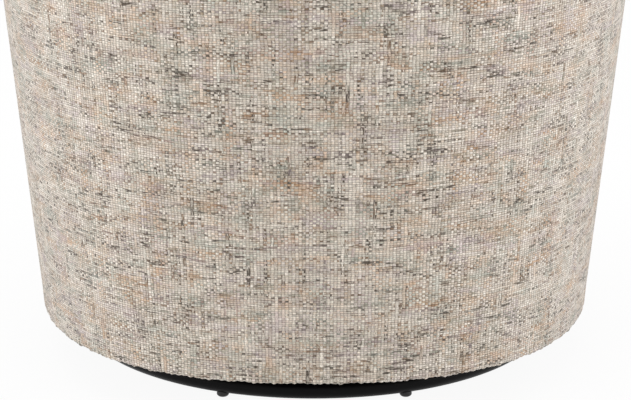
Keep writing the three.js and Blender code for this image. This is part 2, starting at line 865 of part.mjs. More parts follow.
function swivelCradle() {
  const shape = roundedRectangle(cradleWidth, cradleDepth, plateCorner);
  shape.holes.push(roundHole(0, 0, boltDiameter / 2));
  return join([
    flatPlate(shape, plateThickness, cradleBottom, 4),
    ...mirroredEars(
      earShape(cradleEarFoot, cradleEarRound, cradleTop - bite),
      cradleEarInner,
      cradleEarOuter,
    ),
    ...springBosses(cradleTop - bite, cradleTop + springBossHeight),
  ]);
}

function rockerPlate() {
  const shape = roundedRectangle(2 * rockerEarOuter, cradleDepth, plateCorner);
  const boltPlaces = [[1, 1], [-1, 1], [-1, -1], [1, -1]];
  boltPlaces.forEach(([sideX, sideY]) => {
    const x = sideX * crossRailSpacing / 2;
    const y = sideY * mountBoltSpacing / 2;
    shape.holes.push(roundHole(x, y, mountBoltDiameter / 2));
  });
  return join([
    flatPlate(shape, plateThickness, rockerBottom, 4),
    ...mirroredEars(
      earShape(rockerEarFoot, rockerEarRound, rockerBottom + bite),
      rockerEarInner,
      rockerEarOuter,
    ),
    ...springBosses(rockerBottom - springBossHeight, rockerBottom + bite),
  ]);
}

// Laid along X, on the side given by its sign
function laidOnPivot(geometry, side) {
  return geometry.rotateY(side * Math.PI / 2).translate(0, 0, pivotAxisHeight);
}

function pivotBush(side) {
  const bore = pivotDiameter / 2 + fit;
  const flangeStart = rockerEarOuter + (earGap - bushFlangeThickness) / 2;
  const flangeEnd = flangeStart + bushFlangeThickness;
  return laidOnPivot(turnedRing([
    [bore, rockerEarInner],
    [bushRadius, rockerEarInner],
    [bushRadius, flangeStart],
    [bushFlangeRadius, flangeStart],
    [bushFlangeRadius, flangeEnd],
    [bushRadius, flangeEnd],
    [bushRadius, cradleEarOuter],
    [bore, cradleEarOuter],
  ], pinSides), side);
}

function pivotRivet(side) {
  const radius = pivotDiameter / 2;
  return laidOnPivot(turned([
    [0, rockerEarInner - fit - rivetHeadHeight],
    [rivetHeadRadius, rockerEarInner - fit - rivetHeadHeight],
    [rivetHeadRadius, rockerEarInner - fit],
    [radius, rockerEarInner - fit],
    [radius, cradleEarOuter + fit],
    [rivetHeadRadius, cradleEarOuter + fit],
    [rivetHeadRadius * rivetCrownShare, cradleEarOuter + fit + rivetHeadHeight],
    [0, cradleEarOuter + fit + rivetHeadHeight],
  ], pinSides), side);
}

// Rubber stop that the rocker plate meets at its limit
function bumpStop() {
  const stopY = stopSpacing / 2 + stopTopRadius;
  const armHeightAtStop = rockerBottom - pivotAxisHeight;
  const plateDrop = stopY * Math.sin(rockLimit) + armHeightAtStop * (1 - Math.cos(rockLimit));
  const bottom = cradleTop + fit;
  const top = rockerBottom - plateDrop - fit;
  const waistHeight = (bottom + top) / 2;
  return turned([
    [0, bottom],
    [stopBaseRadius, bottom],
    [(stopBaseRadius + stopTopRadius) / 2 - stopWaist, waistHeight],
    [stopTopRadius, top - stopWaist],
    [stopTopRadius - stopWaist / 2, top],
    [0, top],
  ], 12);
}

// Middle line of a spring whose end turns lie close, as on a closed coil
function springPoints() {
  const bottom = cradleTop + fit + springWire / 2;
  const top = rockerBottom - fit - springWire / 2;
  const openPitch = (top - bottom - 2 * springEndPitch) / (springTurns - 2);
  const steps = springTurns * springStepsPerTurn;
  return Array.from({ length: steps + 1 }, (_, step) => {
    const turns = step / springStepsPerTurn;
    const ended = Math.min(turns, 1) + Math.max(turns - springTurns + 1, 0);
    const opened = THREE.MathUtils.clamp(turns - 1, 0, springTurns - 2);
    const turn = 2 * Math.PI * turns;
    const height = bottom + ended * springEndPitch + opened * openPitch;
    return new THREE.Vector3(springRadius * Math.cos(turn), springRadius * Math.sin(turn), height);
  });
}

// Least gap from the wire to itself, between points half a turn or more apart
function leastGap(points) {
  let least = Infinity;
  points.forEach((point, index) => {
    points.slice(index + springStepsPerTurn / 2).forEach(other => {
      least = Math.min(least, point.distanceTo(other) - springWire);
    });
  });
  return least;
}

function addMechanism() {
  addPiece('swivel_cradle', swivelCradle(), 'black');
  addPiece('rocker_plate', rockerPlate(), 'black');
  addPiece('pivot_bush_left', pivotBush(1), 'nylon');
  addPiece('pivot_bush_right', pivotBush(-1), 'nylon');
  addPiece('pivot_rivet_left', pivotRivet(1), 'steel');
  addPiece('pivot_rivet_right', pivotRivet(-1), 'steel');
  addPiece('bump_stop_back', bumpStop(), 'rubber', [0, stopSpacing / 2, 0]);
  addPiece('bump_stop_front', bumpStop(), 'rubber', [0, -stopSpacing / 2, 0]);
  const points = springPoints();
  console.log(`coil spring: least gap to itself ${leastGap(points).toFixed(2)} mm`);
  const outwards = points.map(point => new THREE.Vector3(point.x, point.y, 0));
  const spring = wireAlong(points, outwards, springWire, springSides);
  const springNames = ['back_left', 'back_right', 'front_right', 'front_left'];
  springPlaces.forEach(([x, y], index) => {
    addPiece(`coil_spring_${springNames[index]}`, spring.clone(), 'spring', [x, y, 0]);
  });
}

function addMountBolts() {
  const headTop = rockerBottom - fit;
  const top = rockerTop + fit + crossRailHeight + boltStandOut;
  const bolt = hexBolt(mountBoltHeadWidth, headTop - mountBoltHeadHeight, headTop, mountBoltDiameter, top);
  [[1, 1], [-1, 1], [-1, -1], [1, -1]].forEach(([sideX, sideY], index) => {
    const place = [sideX * crossRailSpacing / 2, sideY * mountBoltSpacing / 2, 0];
    addPiece(`mount_bolt_${index + 1}`, bolt.clone(), 'steel', place);
  });
}

addBase();
addBearing();
addMechanism();
addCrossRails();
addMountBolts();
addFrame();
addSeatWires();
addDustCover();
addSeatPads();
addUpholstery();

// The origin is midway between the front of the cushion and the back of the rim
const extent = new THREE.Box3().setFromObject(chair);
chair.position.y = -(extent.min.y + extent.max.y) / 2;

export default chair;
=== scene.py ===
# The looks of a swivel rocker: a tapered barrel chair in coarse tweed on a black ring base.
# Metres, +Z up, the front towards -Y, the origin on the floor.
import math

import bmesh
import bpy
import numpy as np
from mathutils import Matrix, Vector, geometry


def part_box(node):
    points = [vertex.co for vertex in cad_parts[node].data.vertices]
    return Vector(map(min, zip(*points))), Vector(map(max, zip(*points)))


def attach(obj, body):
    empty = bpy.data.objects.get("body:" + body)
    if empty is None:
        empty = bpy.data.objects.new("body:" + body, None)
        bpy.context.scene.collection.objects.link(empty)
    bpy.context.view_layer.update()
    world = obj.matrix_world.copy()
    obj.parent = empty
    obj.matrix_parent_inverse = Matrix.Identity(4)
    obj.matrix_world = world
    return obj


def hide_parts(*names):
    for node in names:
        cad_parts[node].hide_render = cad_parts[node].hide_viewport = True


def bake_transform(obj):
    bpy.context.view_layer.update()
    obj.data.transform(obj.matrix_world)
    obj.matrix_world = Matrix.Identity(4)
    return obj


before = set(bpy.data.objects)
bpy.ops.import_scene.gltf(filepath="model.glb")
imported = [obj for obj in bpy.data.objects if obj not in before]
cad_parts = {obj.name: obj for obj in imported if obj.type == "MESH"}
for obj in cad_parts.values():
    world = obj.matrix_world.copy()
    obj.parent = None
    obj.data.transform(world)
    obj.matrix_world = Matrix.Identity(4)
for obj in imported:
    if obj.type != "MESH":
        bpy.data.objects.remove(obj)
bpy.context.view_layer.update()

# Outside of the upholstered body
bottom_width = 0.620
top_width = 0.761
back_height = 0.760
arm_height = 0.612
arm_front_drop = 0.022
lower_edge = 0.054
outline_power = 2.32
back_reach_share = 1.121
front_reach_share = 0.985
arm_end_turn = math.radians(22.5)
front_end_turn = math.pi + arm_end_turn
piece_gap = 0.0003

# Layers of the wall, from the outside in
cover_thickness = 0.008
hem_thickness = 0.004
hem_reach = 0.026
hem_fold = 0.0035
hem_rows, fold_rows, cover_rows = 3, 6, 25
pad_back = 0.0306
arm_wall = 0.092
back_wall = 0.136
top_wall = 0.084
crown_height = 0.058
arm_bulge = 0.006
lumbar_bulge = 0.016
facing_thickness = 0.014
facing_overlap = 0.002
arm_knee_share = 0.59
back_knee_share = 0.344
panel_seams = (math.radians(45), math.radians(135))
crown_start = 4
welt_radius = 0.0036

# Seat
pad_foot = 0.2949
front_top = 0.2783
deck_bottom = 0.2786
cushion_bottom = 0.2949
cushion_top = 0.4349
cushion_crown = 0.022
cushion_clearance = 0.005
cushion_overhang = 0.004
cushion_draw = 0.0025
cushion_swell = 0.014
cushion_pressure = 4.0
swell_frames = 20

# Weave of the tweed
warp_pitch = 0.0035
weft_pitch = 0.00242
warp_wander, weft_wander = 0.0030, 0.0036
warp_float, weft_float = 0.024, 0.010
warp_run, weft_run = 0.031, 0.016
dash_length = 0.012
twist_length = 0.0085
column_flare = 0.5

ring_low, ring_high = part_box("base_ring")
axis_y = (ring_low.y + ring_high.y) / 2
axis_place = np.array([0, axis_y, 0])
tube_radius = (ring_high.z - ring_low.z) / 2
tube_height = (ring_high.z + ring_low.z) / 2
ring_radius = (ring_high.x - ring_low.x) / 2 - tube_radius

# Base, bearing and rocker
arm_half_height = 0.007
hub_radius = 0.026
bolt_bore = 0.0083
bolt_head = 0.005
glide_radius = 0.00675
race_radius = 0.070
race_width = 0.020
ball_height = 0.0353
ball_groove = 0.0041
ball_count = 10
pivot_height = 0.0798
spring_radius = 0.020
spring_wire = 0.005
wire_radius = 0.002


# Outline of the body

def half_width(height):
    share = (height - lower_edge) / (back_height - lower_edge)
    return (bottom_width + (top_width - bottom_width) * share) / 2


def on_outline(turn, inset, height):
    """Points at a turn about the swivel axis, an inset from the outside, and a height."""
    turn, inset, height = np.broadcast_arrays(turn, inset, height)
    across, along = np.cos(turn), np.sin(turn)
    half = half_width(height)
    reach = half * np.where(along > 0, back_reach_share, front_reach_share)
    x = np.sign(across) * np.abs(across) ** (2 / outline_power) * (half - inset)
    y = np.sign(along) * np.abs(along) ** (2 / outline_power) * (reach - inset)
    return np.stack([x, y + axis_y, height], axis=-1)


def backness(turn):
    rise = np.maximum(0, np.sin(turn))
    return rise * rise * (3 - 2 * rise)


def seam_height(turn):
    """Height of the outer seam: the rim's height, less its crown."""
    frontness = np.maximum(0, -np.sin(turn)) / math.sin(arm_end_turn)
    rim = arm_height + (back_height - arm_height) * backness(turn) - arm_front_drop * frontness ** 2
    return rim - crown_height


def wall_at(turn):
    return arm_wall + (back_wall - arm_wall) * backness(turn)


def turn_of(distance):
    """The turn that a short distance along the side of the body takes."""
    return distance / (bottom_width / 2)


def full_turn(count):
    return np.arange(count) * 2 * math.pi / count


def distances_along(points):
    """How far along a path each of its points lies."""
    steps = np.linalg.norm(np.diff(points, axis=0), axis=1)
    return np.concatenate([[0], np.cumsum(steps)])


def even_turns(first, last, spacing):
    """Turns that lie evenly along the lower edge, and how far each is from the middle of the back."""
    fine = np.linspace(first, last, 4001)
    travelled = distances_along(on_outline(fine, 0, lower_edge))
    count = max(2, round(travelled[-1] / spacing)) + 1
    travels = np.linspace(0, travelled[-1], count)
    middle = np.interp(math.pi / 2, fine, travelled)
    return np.interp(travels, travelled, fine), travels - middle


# Meshes

def new_object(name, data):
    made = bpy.data.objects.new(name, data)
    bpy.context.scene.collection.objects.link(made)
    return made


def new_mesh(name, points, faces, cloth=None, sharp=None):
    """A mesh object, faces outwards, with places on the cloth and edges sharp from an angle in degrees."""
    mesh = bpy.data.meshes.new(name)
    mesh.from_pydata(np.asarray(points, float).reshape(-1, 3).tolist(), [], faces)
    mesh.validate()
    mesh.shade_smooth()
    if cloth is not None:
        add_cloth_places(mesh, cloth)
    if signed_volume(mesh) < 0:
        mesh.flip_normals()
    if sharp is not None:
        mesh.set_sharp_from_angle(angle=math.radians(sharp))
    return new_object(name, mesh)


def add_cloth_places(mesh, cloth, domain="POINT"):
    places = np.zeros((len(cloth), 3), np.float32)
    places[:, :cloth.shape[1]] = cloth
    attribute = mesh.attributes.new("cloth", "FLOAT_VECTOR", domain)
    attribute.data.foreach_set("vector", places.ravel())


def read_values(members, key, kind=np.int32, width=1):
    """One property of all the members of a mesh's collection."""
    values = np.zeros(len(members) * width, kind)
    members.foreach_get(key, values)
    return values if width == 1 else values.reshape(-1, width)


def points_of(mesh):
    return read_values(mesh.vertices, "co", np.float32, 3).astype(float)


def move_points(piece, points):
    piece.data.vertices.foreach_set("co", points.astype(np.float32).ravel())
    piece.data.update()


def signed_volume(mesh):
    mesh.calc_loop_triangles()
    places = points_of(mesh)[read_values(mesh.loop_triangles, "vertices", width=3)]
    return np.einsum("ij,ij->i", places[:, 0], np.cross(places[:, 1], places[:, 2])).sum()


def grid_faces(rows, columns, wraps_rows=False, wraps_columns=False, start=0):
    faces = []
    for row in range(rows if wraps_rows else rows - 1):
        for column in range(columns if wraps_columns else columns - 1):
            below = (row + 1) % rows
            beside = (column + 1) % columns
            faces.append([start + row * columns + column, start + row * columns + beside,
                          start + below * columns + beside, start + below * columns + column])
    return faces


def capped_faces(rows, columns):
    """Faces of rows that shut on themselves, and fans to two more points beyond their ends."""
    faces = grid_faces(rows, columns, False, True)
    count, final = rows * columns, (rows - 1) * columns
    for column in range(columns):
        beside = (column + 1) % columns
        faces.append([beside, column, count])
        faces.append([final + column, final + beside, count + 1])
    return faces


def slab(name, face, back, cloth=None, shuts=False):
    """A closed solid between two grids of points. Where it shuts, its rows close on themselves."""
    rows, columns = face.shape[:2]
    count = rows * columns
    faces = grid_faces(rows, columns, False, shuts)
    faces += [quad[::-1] for quad in grid_faces(rows, columns, False, shuts, start=count)]
    grid = np.arange(count).reshape(rows, columns)
    if shuts:
        rims = [grid[0], grid[-1, ::-1]]
    else:
        rims = [np.concatenate([grid[0, :-1], grid[:-1, -1], grid[-1, :0:-1], grid[:0:-1, 0]])]
    for rim in rims:
        for corner, after in zip(rim.tolist(), np.roll(rim, -1).tolist()):
            faces.append([after, corner, corner + count, after + count])
    if cloth is not None:
        cloth = np.concatenate([cloth.reshape(count, -1)] * 2)
    return new_mesh(name, np.concatenate([face.reshape(-1, 3), back.reshape(-1, 3)]), faces, cloth)


def circle_points(turns, reach, height):
    """Points at turns about the vertical through the origin, at a reach from it and a height."""
    return np.stack(np.broadcast_arrays(reach * np.cos(turns), reach * np.sin(turns), height), -1)


def turned_about(points, turn):
    """Points turned about the vertical through the origin."""
    cosine, sine = math.cos(turn), math.sin(turn)
    return np.column_stack([points[:, 0] * cosine - points[:, 1] * sine,
                            points[:, 0] * sine + points[:, 1] * cosine, points[:, 2]])


def frames_along(path, closed):
    """Side and up directions at each point of a path, turned as little as possible."""
    after = np.roll(path, -1, axis=0)
    before = np.roll(path, 1, axis=0)
    if not closed:
        after[-1] = path[-1]
        before[0] = path[0]
    forward = after - before
    forward /= np.linalg.norm(forward, axis=1)[:, None]
    is_steep = abs(forward[0, 2]) > 0.9
    side = np.cross([1.0, 0, 0] if is_steep else [0, 0, 1.0], forward[0])
    sides = np.zeros_like(path)
    for index, direction in enumerate(forward):
        side = side - (side @ direction) * direction
        side /= np.linalg.norm(side)
        sides[index] = side
    ups = np.cross(forward, sides)
    return untwisted(sides, ups, forward[0]) if closed else (sides, ups)


def untwisted(sides, ups, direction):
    """Spreads the twist that is left after one lap evenly over the lap."""
    last = sides[-1] - (sides[-1] @ direction) * direction
    twist = math.atan2(last @ ups[0], last @ sides[0])
    angles = -twist * np.arange(len(sides)) / len(sides)
    cosine, sine = np.cos(angles)[:, None], np.sin(angles)[:, None]
    return sides * cosine + ups * sine, ups * cosine - sides * sine


def tube(name, path, radius, sides=12, closed=False, bias=0.0):
    """A round tube along a path, closed at its ends. radius is one size or one for each point."""
    path = np.asarray(path, float)
    radius = np.broadcast_to(radius, len(path))
    across, up = frames_along(path, closed)
    turns = full_turn(sides)
    offsets = np.cos(turns)[:, None] * across[:, None] + np.sin(turns)[:, None] * up[:, None]
    points = (path[:, None] + offsets * radius[:, None, None]).reshape(-1, 3)
    along, around = np.meshgrid(distances_along(path), turns * float(radius.mean()), indexing="ij")
    cosine, sine = math.cos(bias), math.sin(bias)
    cloth = np.stack([along * cosine - around * sine, along * sine + around * cosine], -1).reshape(-1, 2)
    if closed:
        return new_mesh(name, points, grid_faces(len(path), sides, True, True), cloth)
    points = np.concatenate([points, path[:1], path[-1:]])
    cloth = np.concatenate([cloth, np.zeros((2, 2))])
    return new_mesh(name, points, capped_faces(len(path), sides), cloth)


def welt_along(name, path, body):
    """A cord in bias-cut cloth along a seam."""
    welt = tube(name, path, welt_radius, 12, closed=True, bias=math.pi / 4)
    place_piece(welt, body, "tweed")


def filleted(profile, radius, steps=4):
    """A closed profile with its corners rounded. Corners on the axis stay as they are."""
    rounded = []
    for before, corner, after in zip(np.roll(profile, 1, 0), profile, np.roll(profile, -1, 0)):
        if corner[0] == 0:
            rounded.append(corner)
            continue
        back, ahead = before - corner, after - corner
        back_length, ahead_length = np.linalg.norm(back), np.linalg.norm(ahead)
        reach = min(radius, 0.45 * back_length, 0.45 * ahead_length)
        start = corner + back / back_length * reach
        end = corner + ahead / ahead_length * reach
        for share in np.linspace(0, 1, steps):
            rounded.append((1 - share) ** 2 * start + 2 * share * (1 - share) * corner + share ** 2 * end)
    return np.array(rounded)


def turned(name, profile, radius, steps=64, place=axis_place):
    """A turned piece with rounded edges. A profile that touches the axis makes a solid, another a ring."""
    profile = np.asarray(profile, float)
    is_ring = profile[:, 0].min() > 0
    profile = filleted(profile, radius)
    points = circle_points(full_turn(steps)[:, None], profile[:, 0], profile[:, 1])
    made = new_mesh(name, points + place, grid_faces(steps, len(profile), True, is_ring))
    weld(made)
    return made


def weld(piece, distance=1e-6):
    """Merges points that lie together, such as those on the axis of a turned piece."""
    shape = bmesh.new()
    shape.from_mesh(piece.data)
    bmesh.ops.remove_doubles(shape, verts=shape.verts, dist=distance)
    bmesh.ops.dissolve_degenerate(shape, dist=distance, edges=shape.edges)
    shape.to_mesh(piece.data)
    shape.free()


def flatten_facets(piece):
    """Joins triangles that lie in one plane, so that bevels run along real edges only."""
    shape = bmesh.new()
    shape.from_mesh(piece.data)
    bmesh.ops.dissolve_limit(shape, angle_limit=math.radians(0.5), verts=shape.verts, edges=shape.edges)
    shape.to_mesh(piece.data)
    shape.free()


def apply_modifiers(piece):
    graph = bpy.context.evaluated_depsgraph_get()
    made = bpy.data.meshes.new_from_object(piece.evaluated_get(graph), preserve_all_data_layers=True,
                                           depsgraph=graph)
    old = piece.data
    piece.modifiers.clear()
    piece.data = made
    bpy.data.meshes.remove(old)
    made.shade_smooth()


def softened_copy(node, edge):
    """A piece with a CAD node's shape and softened edges."""
    piece = new_object(node + "_detail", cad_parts[node].data.copy())
    weld(piece, 1e-5)
    flatten_facets(piece)
    bevel = piece.modifiers.new("edge", "BEVEL")
    bevel.width = edge
    bevel.segments = 2
    bevel.limit_method = "ANGLE"
    bevel.angle_limit = math.radians(40)
    bevel.harden_normals = False
    apply_modifiers(piece)
    piece.data.set_sharp_from_angle(angle=math.radians(28))
    return piece


# Node trees

class Tree:
    """The nodes of a material or world. Each call adds a node and gives its output socket."""

    def __init__(self, owner):
        self.owner = owner
        owner.use_nodes = True
        self.nodes = owner.node_tree.nodes
        self.links = owner.node_tree.links
        self.nodes.clear()

    def add(self, kind, inputs=(), **settings):
        node = self.nodes.new(kind)
        for key, value in settings.items():
            setattr(node, key, value)
        for key, value in dict(inputs).items():
            self.set(node.inputs[key], value)
        return node

    def set(self, socket, value):
        if isinstance(value, bpy.types.NodeSocket):
            self.links.new(value, socket)
        else:
            socket.default_value = value

    def math(self, operation, *values):
        return self.add("ShaderNodeMath", dict(enumerate(values)), operation=operation).outputs[0]

    def plus(self, first, second):
        return self.math("ADD", first, second)

    def minus(self, first, second):
        return self.math("SUBTRACT", first, second)

    def times(self, first, second):
        return self.math("MULTIPLY", first, second)

    def over(self, first, second):
        return self.math("DIVIDE", first, second)

    def line(self, value, slope, start):
        return self.math("MULTIPLY_ADD", value, slope, start)

    def vector(self, x, y, z=0.0):
        return self.add("ShaderNodeCombineXYZ", {"X": x, "Y": y, "Z": z}).outputs[0]

    def split(self, vector):
        return self.add("ShaderNodeSeparateXYZ", {"Vector": vector}).outputs

    def attribute(self, name):
        return self.add("ShaderNodeAttribute", attribute_name=name).outputs["Vector"]

    def object_place(self):
        return self.add("ShaderNodeTexCoord").outputs["Object"]

    def scaled(self, vector, x, y, z):
        return self.add("ShaderNodeVectorMath", {0: vector, 1: (x, y, z)}, operation="MULTIPLY").outputs[0]

    def noise(self, vector, scale=1.0, detail=1.0, roughness=0.5, output=0):
        inputs = {"Vector": vector, "Scale": scale, "Detail": detail, "Roughness": roughness}
        return self.add("ShaderNodeTexNoise", inputs).outputs[output]

    def chance(self, x, y, z):
        """A random number from 0 to 1 for each set of three numbers."""
        return self.add("ShaderNodeTexWhiteNoise", {"Vector": self.vector(x, y, z)}).outputs["Value"]

    def rise(self, value, low, high):
        """0 below low, 1 above high, and a smooth rise between them."""
        inputs = {"Value": value, "From Min": low, "From Max": high}
        return self.add("ShaderNodeMapRange", inputs, interpolation_type="SMOOTHSTEP").outputs[0]

    def spread(self, value, low, high, to_low, to_high):
        inputs = {"Value": value, "From Min": low, "From Max": high, "To Min": to_low, "To Max": to_high}
        return self.add("ShaderNodeMapRange", inputs).outputs[0]

    def mix(self, share, first, second, blend="MIX"):
        """A colour between two others."""
        inputs = {"Factor": share, 6: first, 7: second}
        return self.add("ShaderNodeMix", inputs, data_type="RGBA", blend_type=blend).outputs[2]

    def blend(self, share, first, second):
        """A number between two others."""
        return self.add("ShaderNodeMix", {0: share, 2: first, 3: second}).outputs[0]

    def ramp(self, value, stops):
        """A colour from a list of (start, colour) stops."""
        node = self.add("ShaderNodeValToRGB", {"Fac": value})
        ramp = node.color_ramp
        ramp.interpolation = "CONSTANT"
        while len(ramp.elements) < len(stops):
            ramp.elements.new(0.5)
        for element, (start, colour) in zip(ramp.elements, stops):
            element.position = start
            element.color = colour
        return node.outputs[0]

    def shade(self, colour, level):
        """A colour times a level that carries painted shade. Dark places are painted a little warmer, as
        light bounced between yarns is.
        """
        red, blue = self.math("POWER", level, 0.94), self.math("POWER", level, 1.06)
        grey = self.add("ShaderNodeCombineColor", {0: red, 1: level, 2: blue}).outputs[0]
        return self.mix(1.0, colour, grey, "MULTIPLY")

    def bump(self, height, distance, strength):
        inputs = {"Height": height, "Distance": distance, "Strength": strength}
        return self.add("ShaderNodeBump", inputs).outputs[0]

    def surface(self, colour, roughness, normal, **sockets):
        inputs = {"Base Color": colour, "Roughness": roughness, "Normal": normal}
        inputs.update((key.replace("_", " "), value) for key, value in sockets.items())
        shader = self.add("ShaderNodeBsdfPrincipled", inputs)
        self.add("ShaderNodeOutputMaterial", {0: shader.outputs[0]})
        return self.owner

    def is_seen(self):
        """1 where the camera, a mirror or glass looks, and 0 for the light that falls on the object."""
        ray = self.add("ShaderNodeLightPath").outputs
        return self.math("MAXIMUM", ray["Is Camera Ray"],
                         self.math("MAXIMUM", ray["Is Glossy Ray"], ray["Is Transmission Ray"]))


def material_tree(name):
    return Tree(bpy.data.materials.new(name))


def srgb(red, green, blue):
    """A colour given as a screen shows it, from 0 to 255, as a linear colour."""
    linear = [(value / 255 / 12.92) if value <= 10 else ((value / 255 + 0.055) / 1.055) ** 2.4
              for value in (red, green, blue)]
    return (*linear, 1.0)


# Materials

cream = srgb(230, 221, 209)
pale_oat = srgb(222, 212, 199)
oat = srgb(210, 199, 185)
stone = srgb(196, 187, 175)
tan = srgb(198, 182, 163)
moss_grey = srgb(154, 148, 133)
brown = srgb(148, 126, 106)
umber = srgb(124, 110, 96)
charcoal = srgb(92, 82, 72)
warm_cast = srgb(204, 164, 128)
green_cast = srgb(172, 177, 166)
lilac_cast = srgb(193, 178, 178)

# Shares of the length of the yarns that each colour takes, in order
ground_colours = ((0.0, cream), (0.34, pale_oat), (0.64, oat), (0.90, stone))
strand_colours = ((0.0, cream), (0.22, pale_oat), (0.40, oat), (0.55, tan), (0.64, stone),
                  (0.75, moss_grey), (0.83, brown), (0.88, umber), (0.94, charcoal))


class Weave:
    """A plain weave with floats: the thread on top at each place, and the place along and across it."""

    def __init__(self, tree):
        self.tree = tree
        self.across, self.along, self.seed = tree.split(tree.attribute("cloth"))
        self.place = tree.vector(self.across, self.along, self.seed)
        wander = tree.noise(tree.scaled(self.place, 30.0, 60.0, 1.0), 1.0, 2.0)
        drift = tree.noise(tree.scaled(self.place, 34.0, 70.0, 1.0), 1.0, 3.0)
        self.column, self.off_column = self.thread_at(wander, warp_wander, self.across, warp_pitch)
        self.row, self.off_row = self.thread_at(drift, weft_wander, self.along, weft_pitch)
        self.is_weft = self.weft_on_top()
        self.yarn = tree.line(self.is_weft, 4000.0, self.on_top(self.column, self.row))
        self.tone = tree.chance(self.yarn, self.seed, 0.5)
        self.start = tree.times(self.tone, 0.7)
        self.at = tree.plus(self.on_top(self.along, self.across), self.start)

    def on_top(self, warp, weft):
        """The warp's value where the warp lies on top, and the weft's elsewhere."""
        return self.tree.blend(self.is_weft, warp, weft)

    def thread_at(self, noise, reach, place, pitch):
        """The number of the warp or weft at each place, and how far off its middle the place is."""
        tree = self.tree
        threads = tree.over(tree.line(noise, reach, place), pitch)
        number = tree.math("FLOOR", threads)
        return number, tree.minus(tree.minus(threads, number), 0.5)

    def weft_on_top(self):
        tree = self.tree
        plain = tree.math("FLOORED_MODULO", tree.plus(self.column, self.row), 2.0)
        warp_floats = self.float_runs(self.along, self.column, 80.0, warp_float, 0.92)
        weft_floats = self.float_runs(self.across, self.row, 92.0, weft_float, 0.76)
        return tree.math("MAXIMUM", tree.times(plain, tree.minus(1.0, warp_floats)), weft_floats)

    def float_runs(self, at, thread, key, length, share):
        """1 on runs of a thread picked by chance, and 0 on the share that is left."""
        tree = self.tree
        number = tree.math("FLOOR", tree.over(at, length))
        return tree.math("GREATER_THAN", tree.chance(number, thread, tree.plus(self.seed, key)), share)

    def tints(self):
        """Random values that hold over dashes along the yarns, much the same on yarns side by side."""
        tree = self.tree
        dash = tree.minus(tree.math("SNAP", self.at, dash_length), self.start)
        place = tree.vector(
            self.on_top(tree.times(self.column, warp_pitch * 52.0), tree.times(dash, 23.0)),
            self.on_top(tree.times(dash, 26.0), tree.times(self.row, weft_pitch * 66.0)),
            tree.line(self.is_weft, 3.7, self.seed),
        )
        return tree.split(tree.noise(place, 1.0, 2.0, output="Color"))

    def drawn(self, length, key, weft_share):
        """A random number for each run of a length along the yarn, a little more on the weft."""
        tree = self.tree
        number = tree.math("FLOOR", tree.over(self.at, length))
        return tree.line(self.is_weft, weft_share, tree.chance(number, self.yarn, key))

    def colour(self, warm, hue, lean):
        """Yarns spun from a pale strand and a coloured one, with tints over them."""
        tree = self.tree
        run = self.on_top(warp_run, weft_run)
        ground = self.drawn(tree.times(run, 1.7), self.seed, 0.16)
        strand = self.drawn(run, tree.plus(self.seed, 5.0), 0.12)
        strand = tree.line(tree.minus(lean, 0.5), 1.3, strand)
        twist = tree.line(self.on_top(self.off_column, self.off_row), 1.6, tree.times(self.yarn, 7.3))
        spun = tree.noise(tree.vector(tree.over(self.at, twist_length), twist, self.seed))
        colour = tree.mix(tree.rise(spun, 0.40, 0.57), tree.ramp(ground, ground_colours),
                          tree.ramp(strand, strand_colours))
        for value, low, high, most, cast in (
            (warm, 0.45, 0.80, 0.74, warm_cast),
            (hue, 0.50, 0.76, 0.70, lilac_cast),
            (hue, 0.50, 0.24, 0.65, green_cast),
        ):
            colour = tree.mix(tree.times(tree.rise(value, low, high), most), colour, cast)
        return colour

    def height(self):
        """The crowns of the threads, highest where one lies over another."""
        tree = self.tree
        across = tree.math("COSINE", tree.times(self.off_column, math.pi))
        along = tree.math("COSINE", tree.times(self.off_row, math.pi))
        warp = tree.times(tree.math("SQRT", across), tree.line(along, 0.45, 0.55))
        weft = tree.times(tree.math("SQRT", along), tree.line(across, 0.70, 0.30))
        return self.on_top(warp, weft)

    def level(self, height, lean, cell):
        """How light each place is: painted shade low between the threads and in the gaps between rows, and
        uneven tone along the yarns.
        """
        tree = self.tree
        beside = self.on_top(self.across, self.along)
        fibres = tree.noise(tree.vector(tree.times(self.at, 560.0), tree.times(beside, 1150.0), self.seed))
        # painted shadow: thin dark lines in the gaps between rows, stronger in patches
        patches = tree.noise(tree.vector(tree.times(self.across, 55.0), tree.times(self.row, 3.7), self.seed))
        between = tree.rise(tree.math("ABSOLUTE", self.off_row), 0.22, 0.46)
        painted_gap_shade = tree.times(between, tree.rise(patches, 0.50, 0.66))
        # painted shade: the level drops where the threads lie low, between them
        level = tree.spread(height, 0.0, 0.85, 0.47, 1.09)
        for value, low, high, at_low, at_high in (
            (cell, 0.0, 1.0, 0.90, 1.08),
            (fibres, 0.25, 0.75, 0.67, 1.25),
            (lean, 0.25, 0.75, 1.13, 0.89),
            (self.tone, 0.0, 1.0, 0.94, 1.10),
            (painted_gap_shade, 0.0, 1.0, 1.0, 0.55),
        ):
            level = tree.times(level, tree.spread(value, low, high, at_low, at_high))
        return level


def tweed_material():
    """Coarse tweed in mottled yarns, with the relief of its threads and their fuzz, and painted shade between
    the threads.
    """
    tree = material_tree("tweed")
    weave = Weave(tree)
    warm, hue, lean = weave.tints()
    height = weave.height()
    cell = tree.chance(weave.column, weave.row, weave.seed)
    colour = tree.shade(weave.colour(warm, hue, lean), weave.level(height, lean, cell))
    fuzz = tree.noise(tree.scaled(weave.place, 1400.0, 1400.0, 1.0), 1.0, 2.0)
    relief = tree.line(fuzz, 0.25, tree.line(cell, 0.25, height))
    roughness = tree.spread(height, 0.0, 1.0, 1.0, 0.86)
    return tree.surface(colour, roughness, tree.bump(relief, 0.0011, 0.75),
                        Sheen_Weight=0.5, Sheen_Roughness=0.4, Specular_IOR_Level=0.2)


